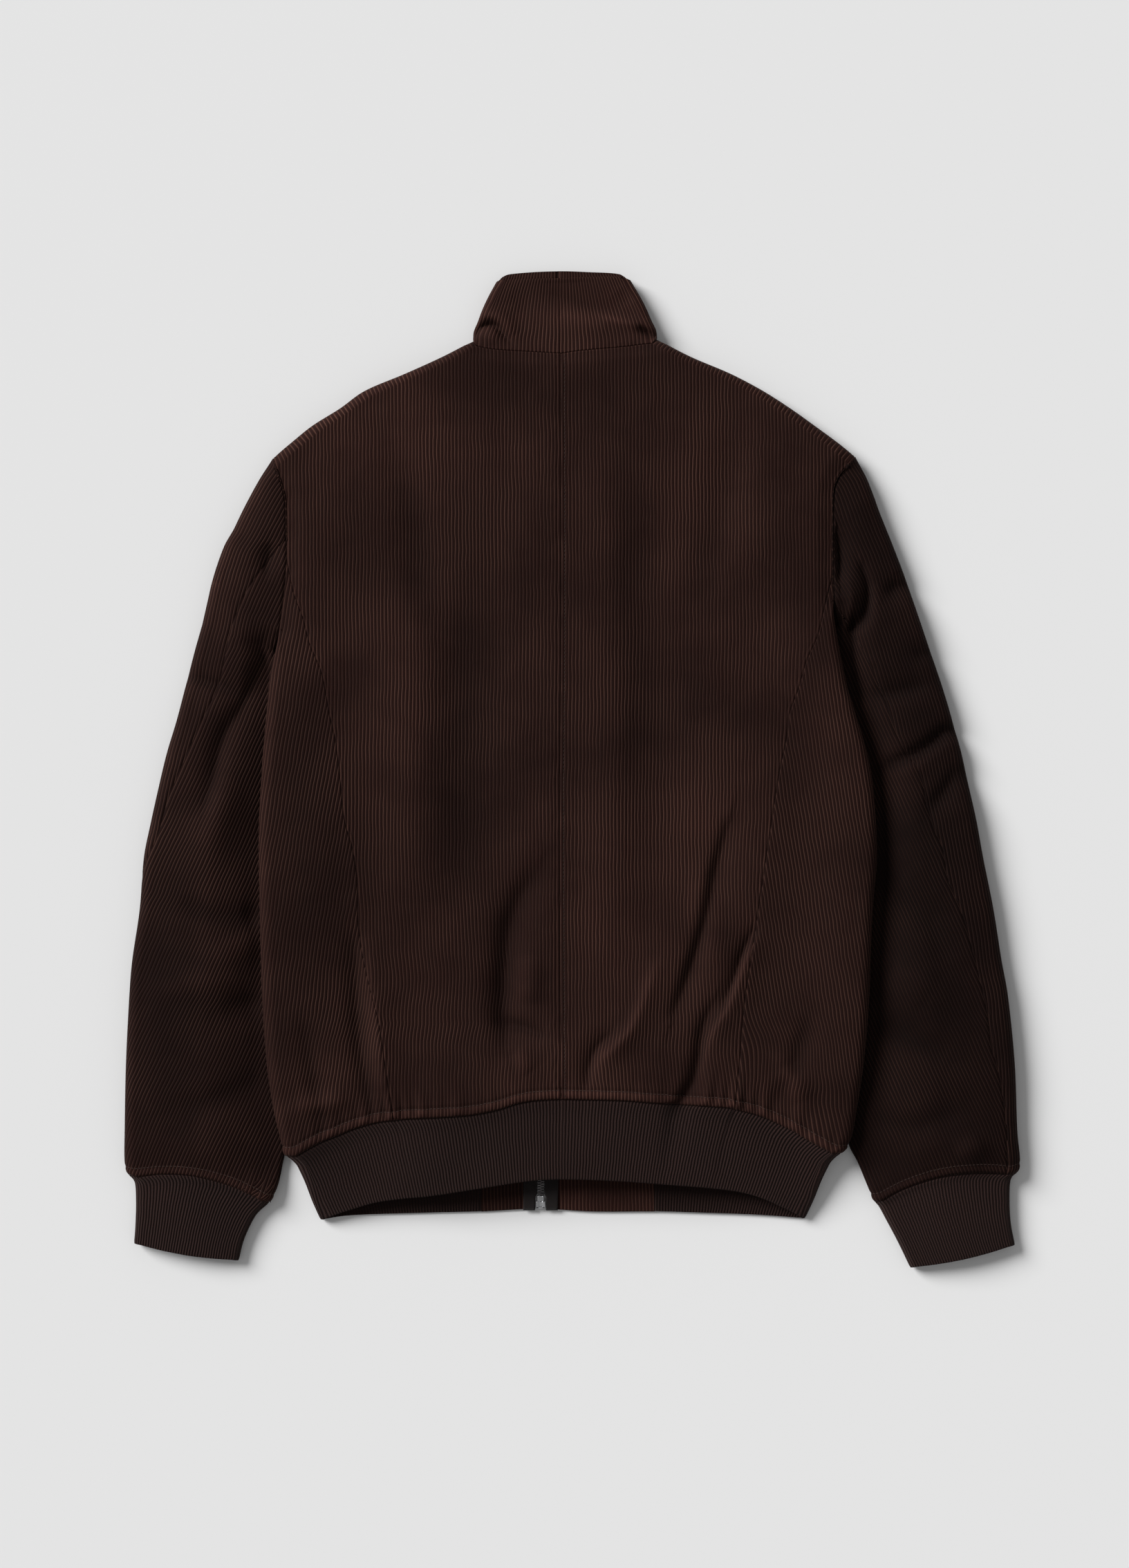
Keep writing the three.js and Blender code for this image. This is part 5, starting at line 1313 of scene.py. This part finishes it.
def hem_band():
    """Ribbed band from tab to tab round the back, taken up from the edges it is sewn to."""
    parts = {}
    fold, low = SIDE_TOP - 1, SIDE_TOP + SIDE_ARC - 1
    for side, cut in CUT.items():
        front = GRIDS[f"front_{side}"][-1][FRONT_COLS <= TAB_SHARE][::-1]
        tab = np.array([*cut["hem_front"](1.0), 0.0])
        edge = GRIDS[f"side_{side}"][-1]
        parts[side] = [(np.vstack([tab, front[:-1]]), "front"), (edge[low:][::-1], "front"),
                       (edge[fold:low][::-1], "arc"), (edge[1:fold][::-1], "back"),
                       (GRIDS[f"back_{side}"][-1], "back")]
    g, kind, turn, who = joined(parts, np.pi * np.arange(SIDE_ARC)[::-1] / SIDE_ARC)
    k = (g[:, 0] - TOP_CORNER[0, 0]) / (TOP_CORNER[1, 0] - TOP_CORNER[0, 0])
    bx = mix(LOW_CORNER[0, 0], LOW_CORNER[1, 0], np.clip(k, 0.004, 0.996))
    centre = 1 - np.abs(np.clip(2 * k - 1, -1, 1)) ** 2.2
    back_foot = np.column_stack([bx, HEM_BACK.y_at(bx), mix(HEM_LOW, HEM_HIGH, centre)])
    c = np.where((who < 0)[:, None], LOW_CORNER[0], LOW_CORNER[1])
    tab_x = np.where(who < 0, *[cut["hem_front"](1.0)[0] for cut in CUT.values()])
    top_x = np.where(who < 0, TOP_CORNER[0, 0], TOP_CORNER[1, 0])
    fx = mix(c[:, 0], tab_x, (g[:, 0] - top_x) / (tab_x - top_x))
    front_foot = np.column_stack([fx, HEM_FRONT.y_at(fx), np.zeros(len(fx))])
    arc_foot = np.column_stack([c[:, 0] - who * 3 * (1 - np.sin(turn)), c[:, 1] + 0.5,
                                3.3 + 3.3 * np.cos(turn)])
    front, arc = kind == "front", kind == "arc"
    foot = np.where(front[:, None], front_foot, np.where(arc[:, None], arc_foot, back_foot))
    flat = foot[:, 2] <= 0.01
    aside = np.where(front, (g[:, 0] - tab_x) / (top_x - tab_x), np.abs(g[:, 0] + 7) / 242)
    place = []
    for t in spread(36, 0.45):
        p = mix(g, foot, t)
        p[:, 0] -= who * np.maximum(0, aside) ** 1.5 * rounded(t, RIB_IN)
        p[:, 2] = np.where(flat, g[:, 2] * (1 - ease(0, 0.4, t)),
                           p[:, 2] - rounded(t, RIB_DROP))
        wave = 0.5 * np.sin(p[:, 0] / 23 + 1) + 0.5 * np.sin(p[:, 0] / 11.3)
        p[:, 2] += np.where(kind == "back", wave * math.sin(math.pi * min(t * 1.15, 1)) * 0.8, 0)
        place.append(p)
    p = grounded(np.array(place))
    ribs = run_along(p, 1)[20] / RIB
    weave = np.stack([np.broadcast_to(ribs, p.shape[:2]), run_along(p, 0)], -1)
    p = grounded(settle(p, top=1.2, bottom=0.35))
    obj = laid("hem_rib_knit", p, weave, KNIT, RIB_KNIT)
    sew(obj, ["hem_rib"], p)


def hem_tab(side):
    """Corduroy between the band's end and the zip."""
    cut = CUT[side]
    sign = cut["sign"]
    top = cut["hem_tab"](spread(40, 0.5))
    top[-1, 0] = ZIP.x_at(HEM_Y) + sign * ZIP_HALF
    edge = ZIP.x_at(-385) + sign * ZIP_HALF
    x = sign * np.maximum(sign * top[:, 0], sign * edge)
    foot = np.column_stack([x, HEM_FRONT.y_at(x)])
    p = raised(mix(top[None], foot[None], spread(50, 0.4)[:, None, None]), 0.0)
    weave = np.stack([p[..., 0] / WALE, p[..., 1]], -1)
    obj = laid(f"hem_tab_{side}_cloth", p, weave, WALL - 0.3, CORDUROY,
               tone=PIECE_PAINTED_LIGHT[f"hem_tab_{side}"])
    sew(obj, [f"hem_tab_{side}"], p)


# Collar

COLLAR_BACK = Line([(719, 406), (730, 404.5), (806, 402), (895.5, 400), (911, 404)])
COLLAR_FRONT = Line([(719, 405), (726, 399), (739, 395), (806, 390.6), (851, 392),
                     (895.5, 395), (911, 403)])
NECK_ENDS = at([(684, 492), (951, 490)])
TOP_ENDS = at([(718, 406), (912, 404)])


def collar():
    """Stand collar from zip to zip, its first rows tucked below the neck seam."""
    parts = {}
    j = np.flatnonzero(BACK_COLS == SHOULDER_SHARE)[0]
    for side in CUT:
        front = GRIDS[f"front_{side}"][0][FRONT_COLS > SHOULDER_SHARE + 0.01][::-1]
        cap = GRIDS[f"cap_{side}"][:, j]
        parts[side] = [(front, "front"), (cap[:1], "front"), (cap[CAP_SEAM:], "arc"),
                       (GRIDS[f"back_{side}"][0][j:], "back")]
    g, kind, turn, who = joined(parts, np.pi * (1 - np.arange(CAP_ARC) / CAP_ARC))
    k = np.clip((g[:, 0] - NECK_ENDS[0, 0]) / (NECK_ENDS[1, 0] - NECK_ENDS[0, 0]), 0.07, 0.93)
    x = mix(TOP_ENDS[0, 0], TOP_ENDS[1, 0], k)
    c = np.where((who < 0)[:, None], TOP_ENDS[0], TOP_ENDS[1])
    ax = c[:, 0] - who * 4.5 * (1 - np.sin(turn))
    ay = mix(COLLAR_BACK.y_at(ax), COLLAR_FRONT.y_at(ax), (1 - np.cos(turn)) / 2)
    arc_foot = np.column_stack([ax, ay, 7 + 7 * np.cos(turn)])
    back_foot = np.column_stack([x, COLLAR_BACK.y_at(x), np.full(len(x), COLLAR_HIGH)])
    front_foot = np.column_stack([x, COLLAR_FRONT.y_at(x), np.zeros(len(x))])
    back, arc, front = kind == "back", kind == "arc", kind == "front"
    foot = np.where(arc[:, None], arc_foot, np.where(back[:, None], back_foot, front_foot))
    roll = np.where(back, 1, np.where(arc, (1 + np.cos(turn)) / 2, 0))
    ends = np.zeros(len(g), bool)
    ends[[0, -1]] = True
    place = []
    for row in np.r_[-0.035, -0.018, spread(64, 0.35)]:
        t = max(row, 0)
        p = mix(g, foot, np.where(front, t, row)[:, None])
        swell = 3.2 * math.sin(math.pi * t) + 1.6 * math.exp(-((t - 0.16) / 0.12) ** 2) * (t > 0)
        p[:, 0] += (k - 0.5) * 2 * swell
        edge = ZIP.x_at(p[:, 1]) + who * mix(ZIP_HALF, -0.25, ease(421.5, 424, p[:, 1]))
        p[:, 0] = np.where(ends, edge, p[:, 0])
        z = creases(p[:, 0], p[:, 1], "collar") + 0.5 * drape(p[:, 0] * 1.5, p[:, 1] * 1.5)
        tucked = (0 if t else 1.2) * (~front)
        p[:, 2] += z * roll * ease(0, 0.08, t) * (1 - ease(0.93, 1, t)) - tucked
        stand = collar_stand(p[:, 1])
        p[:, 2] = np.where(front, zip_lift(p[:, 0], p[:, 1]) + stand,
                           p[:, 2] + np.where(arc, stand * (1 - np.cos(turn)) / 2, 0))
        place.append(p)
    p = grounded(np.array(place))
    across = run_along(p, 1)[30]
    weave = np.stack([np.broadcast_to(across / WALE, p.shape[:2]), p[..., 1]], -1)
    # The end columns lean to the zip, so their wales are counted row by row.
    gap = np.linalg.norm(p[:, [0, -1]] - p[:, [1, -2]], axis=-1) / WALE
    weave[:, 0, 0], weave[:, -1, 0] = weave[:, 1, 0] - gap[:, 0], weave[:, -2, 0] + gap[:, 1]
    p = grounded(settle(p, top=0.8, bottom=0.25, stitch=[("top", 2.4, 0.3, 0.3, 0.3)]))
    obj = laid("collar_cloth", p, weave, CLOTH, CORDUROY, tone=PIECE_PAINTED_LIGHT["collar"])
    sew(obj, ["collar"], p)


# Zip

ZIP_TOP, ZIP_END, BOX_TOP = at((0, 411))[1], at((0, 1753))[1], at((0, 1731.5))[1]
TAPE_Z, CHAIN_Z = WALL + 0.25, WALL - 0.75  # undersides over the surface
TAPE_INNER, TAPE_OUTER = 3.05, 15  # the tape's edges from the zip's middle
BOX_SIDE = 4.7         # its inner edge beside the retainer
TOOTH, TOOTH_PITCH = (3.4, 1.4, 2.3), 2.2


def zip_tape(side):
    """Woven tape, from the chain to below the front, narrower beside the retainer."""
    sign = CUT[side]["sign"]
    y = np.linspace(ZIP_END, at((0, 404))[1], 280)
    x = ZIP.x_at(y)
    z = zip_lift(x, y) + collar_stand(y) + TAPE_Z + TAPE_THICK
    inner = np.where(y < BOX_TOP, BOX_SIDE, TAPE_INNER)
    p = np.stack([np.column_stack([x + sign * mix(inner, TAPE_OUTER, t), y, z - 0.15 * t])
                  for t in np.linspace(0, 1, 9)], 1)
    weave = p[..., :2] / 1.1
    obj = laid(f"zip_tape_{side}_weave", p, weave, TAPE_THICK, TAPE)
    sew(obj, [f"zip_tape_{side}"], p)


def block(bm, place, size):
    """A cuboid in a mesh, its middle and its sizes in mm."""
    shape = Matrix.Diagonal((*[s / 1000 for s in size], 1))
    bmesh.ops.create_cube(bm, size=1, matrix=Matrix.Translation(Vector(place) / 1000) @ shape)


def zip_teeth():
    """Teeth in turn from the left and the right tape, half a pitch apart."""
    bm = bmesh.new()
    y, sign = BOX_TOP + 1.2, 1
    while y < ZIP_TOP - 4:
        x = ZIP.x_at(y)
        block(bm, (x + sign * 1.15, y, zip_lift(x, y) + CHAIN_Z + 1.2), TOOTH)
        y += TOOTH_PITCH / 2
        sign = -sign
    bmesh.ops.bevel(bm, geom=bm.edges[:], affect="EDGES", offset=0.0003, segments=1,
                    profile=0.5, material=-1)
    obj = mesh_object("zip_teeth", bm, GUNMETAL)
    sew(obj, ["zip_chain"])


def zip_box():
    """The retainer: two cheeks with a slot between them over a wider, rounded foot."""
    bm = bmesh.new()
    x, y = ZIP.x_at((ZIP_END + BOX_TOP) / 2), BOX_TOP
    block(bm, (x, y - 2.6, 2.6), (4.6, 5.0, 2.4))
    block(bm, (x, y - 8.0, 2.9), (7.6, 5.8, 3.2))
    block(bm, (x, y - 10.3, 3.2), (8.0, 1.6, 4.2))
    for sign in (-1, 1):
        block(bm, (x + sign * 1.95, y - 2.6, 3.2), (1.7, 5.2, 3.6))
        block(bm, (x + sign * 2.7, y - 8.0, 3.2), (2.6, 6.2, 4.2))
    bmesh.ops.bevel(bm, geom=bm.edges[:], affect="EDGES", offset=0.0005, segments=3,
                    profile=0.5, material=-1)
    for f in bm.faces:
        f.smooth = True
    obj = mesh_object("zip_retainer", bm, NICKEL)
    sew(obj, ["zip_box"])


# Stitching

def rows_of(p, side, far):
    """Places on a cloth at a distance from one of its edges."""
    axis = 0 if side in ("top", "bottom") else 1
    run = run_along(p, axis)
    if side in ("bottom", "right"):
        run = (run[-1:] if axis == 0 else run[:, -1:]) - run
    if axis == 1:
        run, p = run.T, p.transpose(1, 0, 2)
    out = []
    for j in range(p.shape[1]):
        order = np.argsort(run[:, j])
        out.append([np.interp(far, run[order, j], p[order, j, k]) for k in range(3)])
    return np.maximum(out, [-1e3, -1e3, 0.25])


def stitches(name, line):
    """Short threads end to end along a line on the cloth."""
    run = np.r_[0, np.cumsum(np.linalg.norm(np.diff(line, axis=0), axis=1))]
    size = Matrix.Diagonal((STITCH / 1000, STITCH_WIDE / 1000, STITCH_WIDE / 1000, 1))
    bm = bmesh.new()
    s = 0.5
    while s + STITCH < run[-1]:
        a, b = (np.array([np.interp(v, run, line[:, k]) for k in range(3)])
                for v in (s, s + STITCH))
        way = Vector(b - a).normalized()
        across = Vector((0, 0, 1)).cross(way)
        if across.length < 0.2:
            across = Vector((1, 0, 0))
        across.normalize()
        up = way.cross(across)
        turn = Matrix((way, across, up)).transposed().to_4x4()
        spot = Matrix.Translation(Vector((a + b) / 2) / 1000 + up * 0.00005)
        bmesh.ops.create_uvsphere(bm, u_segments=6, v_segments=4, radius=0.5,
                                  matrix=spot @ turn @ size @ Matrix.Rotation(math.pi / 2, 4, "Y"))
        s += STITCH + STITCH_GAP
    for f in bm.faces:
        f.smooth = True
    sew(mesh_object(name, bm, THREAD), [])


def sew_up():
    """Every row of stitching that shows."""
    for side in CUT:
        stitches(f"hem_stitches_{side}", rows_of(GRIDS[f"back_{side}"], "bottom", HEM_STITCH))
        stitches(f"side_hem_stitches_{side}",
                 rows_of(GRIDS[f"side_{side}"], "bottom", HEM_STITCH)[:SIDE_TOP + SIDE_ARC])
        for part in ("upper", "under"):
            line = rows_of(GRIDS[f"sleeve_{side}_{part}"], "bottom", CUFF_STITCH)
            stitches(f"cuff_stitches_{side}_{part}", line)
    stitches("centre_back_stitches", rows_of(GRIDS["back_right"], "right", CENTRE_STITCH))


# Making

for side in CUT:
    back_panel(side)
for side in CUT:
    side_panel(side)
    front_panel(side)
    cuff(side, sleeve(side))
    hem_tab(side)
    zip_tape(side)
hem_band()
collar()
zip_teeth()
zip_box()
sew_up()
for name in ("zip_pin", "zip_slider", "zip_pull"):
    node = frame["nodes"][name]
    node.data.materials.clear()
    node.data.materials.append(NICKEL)


# Floor, light and camera

pale = finish("pale floor", Base_Color=(0.80, 0.80, 0.80, 1), Roughness=0.9)[0]
bm = bmesh.new()
bmesh.ops.create_grid(bm, x_segments=1, y_segments=1, size=6)
floor = mesh_object("floor", bm, pale)
floor.location.z = -0.0004

scene = bpy.context.scene
world = bpy.data.worlds.new("studio")
scene.world = world
world.use_nodes = True
background = world.node_tree.nodes["Background"]
background.inputs["Color"].default_value = (1, 1, 1, 1)
background.inputs["Strength"].default_value = 0.29

sun = bpy.data.lights.new("window", "SUN")
sun.energy = 4.2
sun.angle = math.radians(30)
window = bpy.data.objects.new("window", sun)
window.location = (-1.5, 1.2, 1.4)
window.rotation_euler = Vector((1.6, -1.05, -1.12)).to_track_quat("-Z", "Y").to_euler()
scene.collection.objects.link(window)
scene.view_settings.view_transform = "Standard"

HEIGHT = 3.0           # of the camera, in m
TRUE_AT = 0.015        # height at which UNIT holds in the picture, in m
PICTURE = 2268 * UNIT / 1000  # seen from top to bottom, in m
FILM = 36
camera_data = bpy.data.cameras.new("camera")
camera_data.sensor_width = FILM
camera_data.lens = FILM * (HEIGHT - TRUE_AT) / PICTURE
camera = bpy.data.objects.new("camera", camera_data)
camera.location = (*at((816.5, 1134)) / 1000, HEIGHT)
scene.collection.objects.link(camera)
scene.camera = camera
